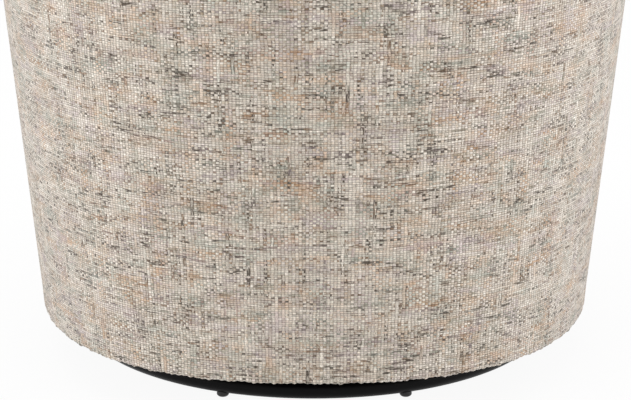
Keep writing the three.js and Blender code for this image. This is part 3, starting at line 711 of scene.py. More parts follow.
def coated_material(name, dark, light, smooth, rough):
    """Satin powder coat with its fine orange peel."""
    tree = material_tree(name)
    place = tree.object_place()
    peel = tree.noise(place, 900.0, 2.0)
    patches = tree.noise(place, 14.0, 3.0)
    roughness = tree.spread(patches, 0.3, 0.7, smooth, rough)
    return tree.surface(tree.mix(patches, dark, light), roughness, tree.bump(peel, 0.00012, 0.5),
                        Specular_IOR_Level=0.1)


def moulded_material(name, dark, light, smooth, rough):
    """Moulded plastic or rubber with a fine spark-eroded grain."""
    tree = material_tree(name)
    place = tree.object_place()
    grain = tree.noise(place, 500.0, 3.0)
    patches = tree.noise(place, 30.0, 2.0)
    roughness = tree.spread(grain, 0.3, 0.7, smooth, rough)
    return tree.surface(tree.mix(patches, dark, light), roughness, tree.bump(grain, 0.00015, 0.6))


def metal_material(name, dark, light, smooth, rough, streak):
    """Plated or drawn steel with fine streaks and stains."""
    tree = material_tree(name)
    place = tree.object_place()
    stain = tree.noise(place, 35.0, 4.0, 0.6)
    streaks = tree.noise(tree.scaled(place, *streak), 1.0, 3.0)
    colour = tree.mix(tree.line(streaks, 0.4, tree.times(stain, 0.6)), dark, light)
    roughness = tree.spread(stain, 0.3, 0.7, smooth, rough)
    return tree.surface(colour, roughness, tree.bump(streaks, 0.00008, 0.5), Metallic=1.0)


def wood_material():
    """Sawn hardwood and plywood with growth rings and pores."""
    tree = material_tree("wood")
    place = tree.object_place()
    bend = tree.noise(place, 5.0, 3.0)
    rings = tree.math("FRACT", tree.line(bend, 2.2, tree.times(tree.split(place)[2], 90.0)))
    grain = tree.noise(tree.scaled(place, 60.0, 60.0, 900.0), 1.0, 3.0)
    colour = tree.mix(tree.rise(rings, 0.1, 0.9), srgb(206, 174, 128), srgb(176, 138, 92))
    colour = tree.mix(tree.times(tree.rise(grain, 0.5, 0.72), 0.5), colour, srgb(126, 92, 58))
    roughness = tree.spread(grain, 0.3, 0.7, 0.62, 0.8)
    return tree.surface(colour, roughness, tree.bump(tree.plus(grain, rings), 0.0003, 0.4))


def dust_cloth_material():
    """Black non-woven cloth with its pressed dot pattern."""
    tree = material_tree("black_cloth")
    place = tree.object_place()
    dot_pitch = 0.0022
    waves = [tree.math("SINE", tree.times(side, 2 * math.pi / dot_pitch)) for side in tree.split(place)[:2]]
    fibres = tree.noise(place, 700.0, 4.0, 0.7)
    colour = tree.mix(fibres, srgb(16, 16, 17), srgb(44, 44, 46))
    relief = tree.line(fibres, 0.6, tree.times(tree.times(*waves), 0.4))
    roughness = tree.spread(fibres, 0.3, 0.7, 0.9, 1.0)
    return tree.surface(colour, roughness, tree.bump(relief, 0.0003, 0.6), Sheen_Weight=0.1)


finishes = {
    "tweed": tweed_material(),
    "black_metal": coated_material("black_metal", srgb(4, 3, 4), srgb(9, 8, 9), 0.36, 0.46),
    "black_nylon": moulded_material("black_nylon", srgb(7, 7, 8), srgb(13, 13, 14), 0.42, 0.55),
    "nylon": moulded_material("nylon", srgb(214, 209, 196), srgb(228, 224, 214), 0.45, 0.6),
    "rubber": moulded_material("rubber", srgb(20, 20, 20), srgb(32, 31, 30), 0.75, 0.9),
    "zinc_steel": metal_material("zinc_steel", srgb(150, 152, 152), srgb(192, 193, 190), 0.28, 0.45,
                                 (40.0, 40.0, 400.0)),
    "spring_steel": metal_material("spring_steel", srgb(84, 86, 90), srgb(122, 123, 125), 0.32, 0.5,
                                   (500.0, 500.0, 500.0)),
    "wood": wood_material(),
    "black_cloth": dust_cloth_material(),
}


def finish_piece(piece, slot):
    """Gives a piece or a CAD node its slot and the material for it."""
    piece.data.materials.clear()
    piece.data.materials.append(finishes[slot])


def place_piece(piece, body, slot, *nodes):
    """Gives a piece its finish, and has it ride on a body in place of CAD nodes."""
    finish_piece(piece, slot)
    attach(piece, body)
    if nodes:
        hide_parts(*nodes)


# Covers of the body

def cover_section():
    """Insets, lifts and shares of the height, from the hem's inner edge, round its fold and up the face."""
    bend = np.linspace(0, math.pi / 2, fold_rows)
    insets = np.concatenate([
        np.linspace(hem_reach, hem_fold, hem_rows + 1)[:-1],
        hem_fold * (1 - np.sin(bend)),
        np.zeros(cover_rows),
    ])
    lifts = np.concatenate([np.zeros(hem_rows), hem_fold * (1 - np.cos(bend)), np.full(cover_rows, hem_fold)])
    shares = np.concatenate([np.zeros(hem_rows + fold_rows), np.linspace(0, 1, cover_rows + 1)[1:]])
    return insets, lifts, shares


def hem_swell(travels, heights):
    """How far the lower edge stands out: a scallop for each pair of warps, uneven along the hem."""
    depth, reach = 0.0011, 0.007
    scallop = np.abs(np.cos(math.pi * travels / (2 * warp_pitch))) ** 0.7
    scallop *= 0.9 + 0.5 * np.sin(410 * travels) * np.sin(137 * travels + 1)
    scallop += 0.25 * (np.sin(96 * travels) + np.sin(213 * travels + 2))
    near_fold = np.clip(1 - (heights - lower_edge) / reach, 0, 1)
    return depth * scallop[:, None] * near_fold


def cover_cloth(travels, heights, insets, lifts, seed):
    """Places on the cloth. Its columns close up half as fast as the taper, and its hem lies unrolled."""
    taper = half_width(heights) / half_width(lower_edge)
    along = travels[:, None] * (1 + (taper - 1) * (1 - column_flare))
    folded = hem_rows + fold_rows
    steps = np.hypot(np.diff(insets[:folded]), np.diff(lifts[:folded]))
    unrolled = heights.copy()
    unrolled[:, :folded] = lower_edge + hem_fold - np.concatenate([np.cumsum(steps[::-1])[::-1], [0]])
    return np.stack([along, unrolled, np.full(heights.shape, seed)], -1)


def cover(name, first_turn, last_turn, top_at, seed):
    """The outside cloth from its hem, scalloped by the warp, up to the seam."""
    seam_start, seam_depth = 0.985, 0.002
    turns, travels = even_turns(first_turn, last_turn, warp_pitch / 4)
    insets, lifts, shares = cover_section()
    top = top_at(turns)[:, None] - piece_gap
    heights = lower_edge + lifts + shares * (top - lower_edge - hem_fold)
    turned_in = np.clip((shares - seam_start) / (1 - seam_start), 0, 1) * seam_depth
    swell = hem_swell(travels, heights)
    face = on_outline(turns[:, None], insets + turned_in - 0.6 * swell, heights)
    face[..., 2] -= swell * (insets < 2 * hem_fold) * np.cos(lifts / hem_fold * 1.2)
    behind = np.concatenate([
        np.linspace(hem_reach, cover_thickness, hem_rows + 1)[:-1],
        np.full(fold_rows + cover_rows, cover_thickness),
    ])
    back = on_outline(turns[:, None], behind, np.maximum(heights, lower_edge + hem_thickness * 0.6))
    return slab(name, face, back, cover_cloth(travels, heights, insets, lifts, seed))


def make_covers():
    gap = turn_of(piece_gap)
    outer = cover("outer_cover_cloth", -arm_end_turn, front_end_turn, seam_height, 0.0)
    place_piece(outer, "seat", "tweed", "outer_cover")
    front = cover("front_cover_cloth", front_end_turn + gap, 2 * math.pi - arm_end_turn - gap,
                  lambda turns: np.full(len(turns), front_top), 3.0)
    place_piece(front, "seat", "tweed", "front_cover")


# Inner pad and arm facings

def smooth_curve(controls, count):
    """Evenly spread points on smooth curves through rows of control points.

    Also gives each curve's length, and how far along it each control point lies, as a share.
    """
    ends = 2 * controls[:, :1] - controls[:, 1:2], 2 * controls[:, -1:] - controls[:, -2:-1]
    padded = np.concatenate([ends[0], controls, ends[1]], 1)
    share = np.linspace(0, 1, 9)[:-1][:, None]
    pieces = []
    for span in range(controls.shape[1] - 1):
        a, b, c, d = (padded[:, span + offset, None] for offset in range(4))
        pieces.append(0.5 * (2 * b + (c - a) * share + (2 * a - 5 * b + 4 * c - d) * share ** 2
                             + (3 * b - a - 3 * c + d) * share ** 3))
    fine = np.concatenate(pieces + [controls[:, -1:]], 1)
    travelled = np.array([distances_along(points) for points in fine])
    result = np.empty((len(fine), count, fine.shape[2]))
    for row, (points, travel) in enumerate(zip(fine, travelled)):
        places = np.linspace(0, travel[-1], count)
        for axis in range(fine.shape[2]):
            result[row, :, axis] = np.interp(places, travel, points[:, axis])
    return result, travelled[:, -1], travelled[:, ::8] / travelled[:, -1:]


def crown_points(seam, proud):
    """The rolled top of the wall, from its inner side over to the outside, as (inset, height)."""
    over = np.linspace(0, math.pi, 13)
    across = np.sign(np.cos(over)) * np.abs(np.cos(over)) ** (2 / outline_power)
    inset = top_wall / 2 + (top_wall / 2 + proud) * across
    rise = (crown_height + proud) * np.sin(over).clip(0) ** (2 / outline_power)
    return np.stack(np.broadcast_arrays(inset, seam[:, None] + rise), -1)


def pad_face(turns, proud=0.0):
    """The visible side of the wall's pad at each turn, from its foot up and over to the outer seam."""
    seam, wall, share = seam_height(turns), wall_at(turns), backness(turns)
    bulge = arm_bulge + (lumbar_bulge - arm_bulge) * share
    knee = pad_foot + (seam - pad_foot) * (arm_knee_share + (back_knee_share - arm_knee_share) * share)
    foot = np.full(len(turns), pad_foot)
    face = np.stack([
        np.stack([wall, foot], -1),
        np.stack([wall, (foot + knee) / 2], -1),
        np.stack([wall, knee], -1),
        np.stack([wall + bulge, (knee + seam) / 2], -1),
    ], 1)
    return np.concatenate([face, crown_points(seam, proud)], 1)


def near(turns, places, reach):
    """1 at each of the places and 0 further than reach from them, along the outline."""
    gaps = np.abs(turns[:, None] - np.asarray(places)).min(axis=1)
    share = np.clip(1 - gaps / reach, 0, 1)
    return share * share * (3 - 2 * share)


def section_normals(curve):
    """Directions out of the pad, in (inset, height), at each point of its sections."""
    along = np.gradient(curve, axis=1)
    out = np.stack([along[..., 1], -along[..., 0]], -1)
    return out / np.linalg.norm(out, axis=-1, keepdims=True)


def pad_depth(turns, travels, rows, controls, lengths):
    """How deep the pad's cloth lies under its outline: in the seams, and between them."""
    seam_turn, crown_seam_reach = 0.034, 0.010
    groove_depth, puff_height, wave_height = 0.0052, 0.0022, 0.0007
    groove = near(turns, panel_seams, seam_turn)[:, None] * np.clip((1 - rows) * 30, 0, 1)
    off_seam = np.abs(rows - controls[:, crown_start, None]) * lengths[:, None]
    groove = np.maximum(groove, 0.8 * np.clip(1 - off_seam / crown_seam_reach, 0, 1) ** 1.5)
    body = np.sin(math.pi * rows.clip(0.02, 0.55) / 0.57).clip(0)
    puff = puff_height * body * (1 - groove)
    waves = wave_height * np.sin(travels * 19.0)[:, None] * np.sin(rows * 23.0 + 1.0) * (1 - groove)
    return groove_depth * groove - waves + puff_height - puff


def make_inner_pad():
    turns, travels = even_turns(-arm_end_turn, front_end_turn, 0.006)
    curve, lengths, controls = smooth_curve(pad_face(turns), 150)
    rows = np.linspace(0, 1, curve.shape[1])
    raised = curve - section_normals(curve) * pad_depth(turns, travels, rows, controls, lengths)[..., None]
    raised[:, [0, -1]] = curve[:, [0, -1]]
    inset, height = raised[..., 0], raised[..., 1]
    face = on_outline(turns[:, None], inset, height)
    seam = seam_height(turns)[:, None]
    below = np.minimum(inset - 0.004, pad_back)
    over = np.clip(inset - 0.004, cover_thickness + 0.001, pad_back)
    back = on_outline(turns[:, None], np.where(height >= seam, over, below), np.minimum(height, seam))
    cloth = np.stack(np.broadcast_arrays(travels[:, None], rows * lengths[:, None], 7.0), -1)
    pad = slab("inner_pad_cloth", face, back, cloth)
    place_piece(pad, "seat", "tweed", "inner_pad")


def even_loop(loop, count):
    """The points of a closed path, spread evenly along it."""
    shut = np.concatenate([loop, loop[:1]])
    travelled = distances_along(shut)
    places = np.linspace(0, travelled[-1], count + 1)[:-1]
    return np.stack([np.interp(places, travelled, shut[:, axis]) for axis in range(shut.shape[1])], -1)


def facing_loop(turn):
    """The edge of an arm's front end, as (inset, height)."""
    edge, _, _ = smooth_curve(pad_face(np.array([turn]), facing_overlap), 120)
    first, last = np.array([-facing_overlap, pad_foot]), np.array([arm_wall, pad_foot])
    bottom = first + (last - first) * np.linspace(0, 1, 26)[1:-1, None]
    return even_loop(np.concatenate([edge[0], [first + (0, 0.1)], bottom]), 150)


def make_facing(name, first_turn, direction):
    """A domed panel on the front end of an arm, with its welt."""
    loop = facing_loop(first_turn)
    middle = loop.mean(axis=0)
    shares = np.linspace(0, 1, 16)[1:]
    rises = np.append(0.62 + 0.38 * (1 - shares ** 4) ** 0.5, [0.2, 0])
    shares = np.append(shares, [1, 0.985])
    step_turn = direction * turn_of(facing_thickness)
    rings = middle + (loop - middle) * shares[:, None, None]
    points = on_outline((first_turn + step_turn * rises)[:, None], rings[..., 0], rings[..., 1])
    ends = on_outline(first_turn + step_turn * np.array([1, 0]), *middle)
    cloth = np.concatenate([rings.reshape(-1, 2), [middle, middle]])
    cloth = np.column_stack([cloth, np.full(len(cloth), 17.0 + direction)])
    facing = new_mesh(name + "_cloth", np.concatenate([points.reshape(-1, 3), ends]),
                      capped_faces(len(rings), len(loop)), cloth)
    place_piece(facing, "seat", "tweed", name)
    welt_along(name + "_welt", on_outline(first_turn + step_turn * 0.66, loop[:, 0], loop[:, 1]), "seat")


# Deck pad and cushion

def seat_loop(step, inset_at, overhang, height, spacing):
    """The outline of a seat pad: inside the wall, and out to the front between the arms."""
    inner, _ = even_turns(-step, math.pi + step, spacing)
    gap = 2 * turn_of(piece_gap)
    outer, _ = even_turns(math.pi + step + gap, 2 * math.pi - step - gap, spacing)
    insets = np.concatenate([inset_at(inner), np.full(len(outer), -overhang)])
    points = on_outline(np.concatenate([inner, outer]), insets, height)
    loop = even_loop(points[:, :2], round(len(points) * 1.08))
    for _ in range(3):
        loop = (np.roll(loop, 1, 0) + 2 * loop + np.roll(loop, -1, 0)) / 4
    return loop


def filled_outline(loop, spacing):
    """Points and triangles that fill a flat outline. The outline's points come first, in their order."""
    low, high = loop.min(axis=0), loop.max(axis=0)
    xs = np.arange(low[0], high[0], spacing)
    ys = np.arange(low[1], high[1], spacing * 0.866)
    inner = np.array([(x + spacing / 2 * (row % 2), y) for row, y in enumerate(ys) for x in xs])
    gaps = np.linalg.norm(inner[:, None] - loop[None, ::2], axis=2).min(axis=1)
    inner = inner[(gaps > spacing * 0.7) & is_inside(inner, loop)]
    points = [Vector(point) for point in np.concatenate([loop, inner]).tolist()]
    count = len(loop)
    edges = [(index, (index + 1) % count) for index in range(count)]
    found, _, triangles, *_ = geometry.delaunay_2d_cdt(points, edges, [list(range(count))], 1, 1e-7)
    return np.array([point[:] for point in found]), [list(corners) for corners in triangles]


def is_inside(points, loop):
    inside = np.zeros(len(points), bool)
    for (x1, y1), (x2, y2) in zip(loop, np.roll(loop, -1, axis=0)):
        if y1 == y2:
            continue
        crosses = (points[:, 1] < y1) != (points[:, 1] < y2)
        at = x1 + (points[:, 1] - y1) / (y2 - y1) * (x2 - x1)
        inside ^= crosses & (points[:, 0] < at)
    return inside


def nearest_on(points, loop):
    """The outline's point that lies nearest to each point, and how far off it is."""
    nearest = np.zeros(len(points), int)
    best = np.full(len(points), np.inf)
    for start in range(0, len(loop), 200):
        gaps = np.linalg.norm(points[:, None] - loop[None, start:start + 200], axis=2)
        closer = gaps.min(axis=1) < best
        nearest[closer] = start + gaps.argmin(axis=1)[closer]
        best = np.minimum(best, gaps.min(axis=1))
    return nearest, best


def loop_directions(loop):
    """Unit directions along an outline."""
    along = np.roll(loop, -1, axis=0) - np.roll(loop, 1, axis=0)
    return along / np.linalg.norm(along, axis=1, keepdims=True)


def loop_normals(loop):
    """Outward directions along an outline that runs with the outside on its right."""
    along = loop_directions(loop)
    return np.stack([along[:, 1], -along[:, 0]], -1)


def around_loop(points, loop):
    """How far round an outline each point lies."""
    travelled = np.cumsum(np.linalg.norm(loop - np.roll(loop, 1, 0), axis=1))
    nearest, _ = nearest_on(points, loop)
    ahead = np.sum((points - loop[nearest]) * loop_directions(loop)[nearest], axis=1)
    return travelled[nearest] + ahead


def panelled_pad(name, loop, side_rows, top_at, bottom_at, spacing):
    """A closed pad of a top and a bottom panel with a strip between them. side_rows are (outward, height)."""
    flat, triangles = filled_outline(loop, spacing)
    count, edge = len(flat), len(loop)
    _, gaps = nearest_on(flat, loop)
    outward = loop_normals(loop)
    rows = [np.column_stack([loop + outward * out, np.full(edge, height)]) for out, height in side_rows]
    top, bottom = (np.column_stack([flat, height_at(flat, gaps)]) for height_at in (top_at, bottom_at))
    points = np.concatenate([top, bottom] + rows)
    faces = triangles + [[corner + count for corner in corners][::-1] for corners in triangles]
    starts = [0] + [2 * count + edge * row for row in range(len(rows))] + [count]
    panels = np.zeros(len(faces) + edge * (len(starts) - 1), np.int32)
    panels[len(faces):] = 1
    for upper, lower in zip(starts[:-1], starts[1:]):
        for index in range(edge):
            beside = (index + 1) % edge
            faces.append([upper + index, lower + index, lower + beside, upper + beside])
    pad = new_mesh(name, points, faces)
    pad.data.attributes.new("panel", "INT", "FACE").data.foreach_set("value", panels)
    pad.data.attributes.new("rest", "FLOAT_VECTOR", "POINT").data.foreach_set("vector", points.ravel())
    seams = [start + np.arange(edge) for start in (0, count)]
    return pad, seams


def lay_cloth(pad, loop, seed):
    """Places on the cloth for each corner: flat on the panels, and round the strip on the side."""
    mesh = pad.data
    rest = read_values(mesh.attributes["rest"].data, "vector", np.float32, 3)
    panels = read_values(mesh.attributes["panel"].data, "value")
    corners = read_values(mesh.loops, "vertex_index")
    totals = read_values(mesh.polygons, "loop_total")
    face_of = np.repeat(np.arange(len(totals)), totals)
    side = panels[face_of] == 1
    travel = around_loop(rest[:, :2], loop)[corners]
    length = np.linalg.norm(loop - np.roll(loop, -1, 0), axis=1).sum()
    first = travel[np.concatenate([[0], np.cumsum(totals)[:-1]])][face_of]
    travel = np.where(first - travel > length / 2, travel + length, travel)
    travel = np.where(travel - first > length / 2, travel - length, travel)
    places = rest[corners].astype(float)
    places[side, 1] = places[side, 2]
    places[side, 0] = travel[side]
    places[:, 2] = seed + side
    add_cloth_places(mesh, places, "CORNER")
    for name in ("rest", "panel"):
        mesh.attributes.remove(mesh.attributes[name])


def swollen_points(piece, held):
    """Where the points of a closed piece of cloth go under pressure, with its held points pinned."""
    cloth = piece.modifiers.new("swell", "CLOTH")
    piece.vertex_groups.new(name="held").add(held.tolist(), 1.0, "REPLACE")
    for key, value in (
        ("quality", 6), ("mass", 0.4), ("tension_stiffness", 18), ("compression_stiffness", 18),
        ("shear_stiffness", 8), ("bending_stiffness", 2), ("vertex_group_mass", "held"),
        ("pin_stiffness", 1.0), ("use_pressure", True), ("uniform_pressure_force", cushion_pressure),
    ):
        setattr(cloth.settings, key, value)
    cloth.settings.effector_weights.gravity = 0
    cloth.collision_settings.use_collision = False
    cloth.collision_settings.use_self_collision = False
    scene = bpy.context.scene
    for number in range(1, swell_frames + 1):
        scene.frame_set(number)
    graph = bpy.context.evaluated_depsgraph_get()
    swollen = points_of(piece.evaluated_get(graph).data)
    piece.modifiers.clear()
    piece.vertex_groups.clear()
    scene.frame_set(1)
    return swollen


def inflate(piece, held):
    """Swells a closed piece, no point further than the cushion's swell or down into the deck."""
    points = points_of(piece.data)
    moves = swollen_points(piece, held) - points
    lengths = np.linalg.norm(moves, axis=1)
    points += moves * np.minimum(1, cushion_swell / np.maximum(lengths, 1e-9))[:, None]
    points[:, 2] = np.maximum(points[:, 2], cushion_bottom + 0.0004)
    move_points(piece, points)


def make_cushion():
    """The loose seat cushion with its boxing and welts, blown up from flat panels."""
    seam_rise, crown_reach, belly, belly_reach = 0.011, 0.24, 0.0105, 0.03
    step = arm_end_turn + turn_of(piece_gap + facing_thickness + cushion_clearance)
    loop = seat_loop(step, lambda turns: wall_at(turns) + cushion_clearance + cushion_draw,
                     cushion_overhang - cushion_draw, (cushion_top + cushion_bottom) / 2, 0.0075)
    low, high = cushion_bottom + seam_rise, cushion_top - seam_rise

    def top_at(flat, gaps):
        return high + cushion_crown * np.sin(np.clip(gaps / crown_reach, 0, 1) * math.pi / 2) ** 0.9

    def bottom_at(flat, gaps):
        return low - belly * np.clip(gaps / belly_reach, 0, 1) ** 0.5

    bow = [(0.0005 * math.sin(math.pi * share), high + (low - high) * share)
           for share in np.linspace(0, 1, 15)[1:-1]]
    pad, seams = panelled_pad("seat_cushion_cloth", loop, bow, top_at, bottom_at, 0.0085)
    inflate(pad, np.concatenate(seams))
    paths = [points_of(pad.data)[seam] for seam in seams]
    pad.modifiers.new("finer", "SUBSURF").levels = 1
    apply_modifiers(pad)
    lay_cloth(pad, loop, 21.0)
    place_piece(pad, "cushion", "tweed", "seat_cushion")
    outward = np.column_stack([loop_normals(loop), np.zeros(len(loop))])
    for label, path, lift in (("top", paths[0], 0.001), ("bottom", paths[1], -0.001)):
        welt_along("seat_cushion_welt_" + label, path + outward * 0.002 + np.array([0, 0, lift]), "cushion")


def make_deck_pad():
    """The thin pad under the cushion, stitched through in rows."""
    side_rise, edge_radius, edge_rise, quilt_rise, stitch_pitch = 0.010, 0.006, 0.0035, 0.0024, 0.12
    loop = seat_loop(arm_end_turn + turn_of(piece_gap), lambda turns: np.full(len(turns), pad_back),
                     0.0, deck_bottom, 0.012)

    def top_at(flat, gaps):
        rounded = np.sqrt(np.clip(1 - np.clip(1 - gaps / edge_radius, 0, 1) ** 2, 0, 1))
        stitched = np.abs(np.sin(math.pi * flat[:, 0] / stitch_pitch))
        return deck_bottom + side_rise + rounded * (edge_rise + quilt_rise * stitched ** 0.35)

    def bottom_at(flat, gaps):
        return np.full(len(flat), deck_bottom + 0.0002)

    pad, _ = panelled_pad("deck_pad_cloth", loop, [(0.0, deck_bottom + 0.005)], top_at, bottom_at, 0.0075)
    lay_cloth(pad, loop, 31.0)
    place_piece(pad, "seat", "tweed", "deck_pad")


# Base and bearing

def bead(name, path, width, closed=False):
    """A weld bead with the ripples of its pools."""
    ripple = 1 + 0.14 * np.sin(np.arange(len(path)) * 2 * math.pi / 4)
    place_piece(tube(name, path, width * ripple, 8, closed=closed), "base", "black_metal")


def make_ring():
    """The tube, bent to a hoop, with the weld that joins its ends at the front."""
    path = circle_points(full_turn(288), ring_radius, tube_height) + axis_place
    ring = tube("base_ring_tube", path, tube_radius, 32, closed=True)
    place_piece(ring, "base", "black_metal", "base_ring")
    turns = full_turn(60)
    seam_x = 0.045
    seam = np.column_stack([
        np.full(60, seam_x),
        axis_y - np.sqrt(ring_radius ** 2 - seam_x ** 2) + tube_radius * np.cos(turns),
        tube_height + tube_radius * np.sin(turns),
    ])
    bead("base_ring_weld", seam, 0.0011, closed=True)


def saddle_height(around, reach):
    """Height at which the side of a glide meets the tube, less a hair."""
    off = reach * np.cos(around)
    return tube_height - np.sqrt(np.maximum((tube_radius + piece_gap) ** 2 - off ** 2, 0))


def glide_points():
    """A glide under the tube at turn 0: a domed foot, and a saddle that wraps the tube's underside."""
    around, foot = full_turn(40), 0.0034
    rows = [circle_points(around, glide_radius * share, height) for share, height in (
        (0.30, 0.0), (0.50, 0.0002), (0.68, 0.0006), (0.82, 0.0012), (0.92, 0.0020), (0.98, 0.0028),
        (0.985, foot),
    )]
    for share, rise in ((0.985, 0.35), (0.97, 0.7), (0.95, 1.0), (0.80, 1.0)):
        reach = glide_radius * share
        rows.append(circle_points(around, reach, foot + rise * (saddle_height(around, reach) - foot)))
    ends = [[0, 0, 0], [0, 0, tube_height - tube_radius * 0.97]]
    return np.concatenate(rows + [ends]), capped_faces(len(rows), len(around))


def make_glides():
    points, faces = glide_points()
    for number in range(8):
        name = f"floor_glide_{number + 1}"
        turn = (number + 0.5) * math.pi / 4
        place = circle_points(turn, ring_radius, 0) + axis_place
        glide = new_mesh(name + "_detail", turned_about(points, turn) + place, faces, sharp=50)
        place_piece(glide, "base", "black_nylon", name)


def make_base_arms():
    """Four arms, each welded along the top of the ring and round the hub's barrel."""
    off = np.linspace(-0.017, 0.017, 45)
    reach = np.sqrt((ring_radius - tube_radius * 0.78) ** 2 - off ** 2)
    high = tube_height + arm_half_height * 0.97
    low = tube_height - arm_half_height * 0.97
    ring_weld = np.column_stack([reach, off, np.full(len(off), high)])
    hub_weld = circle_points(np.linspace(-0.62, 0.62, 40), hub_radius, low)
    for number in range(4):
        name = f"base_arm_{number + 1}"
        place_piece(softened_copy(name, 0.0006), "base", "black_metal", name)
        for label, path, width in (("ring", ring_weld, 0.0017), ("hub", hub_weld, 0.0014)):
            path = turned_about(path, number * math.pi / 2) + axis_place
            bead(f"{name}_{label}_weld", path, width)


def hexagon(sides, across_flats):
    """Turns round a hexagon, how far out its flats lie at each, and how far out its corners are."""
    turns = full_turn(sides)
    reach = across_flats / 2 / np.cos((turns + math.pi / 6) % (math.pi / 3) - math.pi / 6)
    return turns, reach, across_flats / math.sqrt(3)


def hexagon_bolt(node, across_flats, diameter, pitch):
    """A bolt on its head in a node's place, with a chamfered head and a thread of fine ridges."""
    low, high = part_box(node)
    head_low, head_high, top = low.z, low.z + bolt_head, high.z
    turns, flats, corner = hexagon(48, across_flats)
    rows = []
    for share, rise in ((0.82, 0.0), (0.93, 0.10), (1.0, 0.28), (1.0, 1.0), (0.62, 1.0)):
        reach = np.minimum(flats, corner * (0.88 + 0.12 * min(1, rise / 0.28))) * share
        rows.append(circle_points(turns, reach, head_low + (head_high - head_low) * rise))
    shank = diameter / 2
    for index, height in enumerate(np.arange(head_high + 0.0002, top, pitch / 4)):
        depth = pitch * 0.28 * (0.5 - 0.5 * math.cos(index * math.pi / 2))
        reach = min(shank - depth, shank - pitch * 0.5 + max(0.0, top - height))
        rows.append(circle_points(turns, reach, height))
    ends = [[0, 0, head_low], [0, 0, top]]
    points = np.concatenate(rows + [ends]) + middle_of(low, high)
    return new_mesh(node + "_detail", points, capped_faces(len(rows), len(turns)), sharp=35)


def middle_of(low, high):
    return np.array([(low.x + high.x) / 2, (low.y + high.y) / 2, 0])


def make_nut():
    """A flanged hexagon nut with chamfered corners and a collar."""
    low, high = (corner.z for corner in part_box("lock_nut"))
    bore, flange_radius, flange_top = 0.0084, 0.017, low + 0.002
    turns, flats, corner = hexagon(72, 0.024)
    rows = []
    for share, reach, height in (
        (None, bore, low), (None, flange_radius - 0.0006, low), (None, flange_radius, low + 0.0006),
        (None, flange_radius, low + 0.0012), (None, flange_radius - 0.0012, flange_top),
        (1.0, corner, flange_top + 0.0002), (1.0, corner, high - 0.004), (1.0, corner * 0.9, high - 0.0026),
        (0.84, corner, high - 0.0022), (0.82, corner, high - 0.0004), (0.78, corner, high),
        (None, bore, high),
    ):
        radius = reach if share is None else np.minimum(flats, reach) * share
        rows.append(circle_points(turns, radius, height))
    faces = grid_faces(len(rows), len(turns), True, True)
    nut = new_mesh("lock_nut_detail", np.array(rows) + axis_place, faces, sharp=32)
    place_piece(nut, "base", "zinc_steel", "lock_nut")


def make_race(name, body, shut, open_side):
    """One half of the bearing: a ring with a groove for the balls in its open side."""
    half = race_width / 2
    groove = [(race_radius + ball_groove * math.sin(turn),
               ball_height + math.copysign(ball_groove * math.cos(turn), shut - open_side))
              for turn in np.linspace(-1.2, 1.2, 13)]
    profile = [(race_radius - half, shut), (race_radius - half, open_side), *groove,
               (race_radius + half, open_side), (race_radius + half, shut)]
    place_piece(turned(name + "_detail", profile, 0.0005, 120), body, "zinc_steel", name)


def make_bearing():
    low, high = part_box("hub_plate")
    flange, flange_low = high.x, high.z - 0.004
    hub = turned("hub_plate_detail", [
        (bolt_bore, low.z), (hub_radius, low.z), (hub_radius, flange_low), (flange, flange_low),
        (flange, high.z), (bolt_bore, high.z),
    ], 0.0009, 96)
    place_piece(hub, "base", "black_metal", "hub_plate")
    low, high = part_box("lower_race")
    make_race("lower_race", "base", low.z, high.z)
    low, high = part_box("upper_race")
    make_race("upper_race", "swivel", high.z, low.z)
    make_ball_cage()
    bolt = hexagon_bolt("centre_bolt", across_flats=0.024, diameter=0.0158, pitch=0.002)
    place_piece(bolt, "base", "zinc_steel", "centre_bolt")
    make_nut()


def make_ball_cage():
    """The cage's ring with a raised pocket round each ball."""
    low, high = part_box("ball_cage")
    middle, steps = (low.z + high.z) / 2, 240
    turns = full_turn(steps)
    pocket_turn = 2 * math.pi / ball_count
    gap = np.abs((turns / pocket_turn + 0.5) % 1 - 0.5) * pocket_turn * race_radius
    reach = 0.006 - 0.0012 * np.clip((gap - 0.005) / 0.006, 0, 1)
    corners = [circle_points(turns, race_radius + side * reach, middle + up * 0.0006)
               for side, up in ((-1, -1), (1, -1), (1, 1), (-1, 1))]
    points, faces = [np.stack(corners, 1).reshape(-1, 3)], grid_faces(steps, 4, True, True)
    ball_points, ball_faces = ball((high.z - low.z) / 2)
    for index in range(ball_count):
        total = sum(len(part) for part in points)
        faces += [[corner + total for corner in corners] for corners in ball_faces]
        points.append(ball_points + circle_points(index * pocket_turn, race_radius, middle))
    cage = new_mesh("ball_cage_detail", np.concatenate(points) + axis_place, faces, sharp=50)
    place_piece(cage, "ball_cage", "nylon", "ball_cage")


def ball(radius, around=24, rows=14):
    """Points and inward faces of a ball."""
    rises = np.linspace(-math.pi / 2, math.pi / 2, rows + 1)[1:-1, None]
    points = circle_points(full_turn(around), radius * np.cos(rises), radius * np.sin(rises)).reshape(-1, 3)
    points = np.concatenate([points, [[0, 0, -radius], [0, 0, radius]]])
    return points, [corners[::-1] for corners in capped_faces(len(rises), around)]


# Rocker

def lay_on_pivot(piece, side):
    """Lays a piece that was turned about the vertical along X, on the rocker's pivot."""
    points = points_of(piece.data)
    laid = np.column_stack([side * points[:, 2], points[:, 1], pivot_height - side * points[:, 0]])
    move_points(piece, laid)
    if signed_volume(piece.data) < 0:
        piece.data.flip_normals()
    return piece


def bush_profile():
    """A sleeve with a collar, which lies between the ears."""
    inner, outer = (corner.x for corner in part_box("pivot_bush_left"))
    bore, sleeve, collar = 0.0064, 0.008, 0.013
    collar_low, collar_high = 0.1046 - 0.0007, 0.1046 + 0.0007
    return [(bore, inner), (sleeve, inner), (sleeve, collar_low), (collar, collar_low),
            (collar, collar_high), (sleeve, collar_high), (sleeve, outer), (bore, outer)]


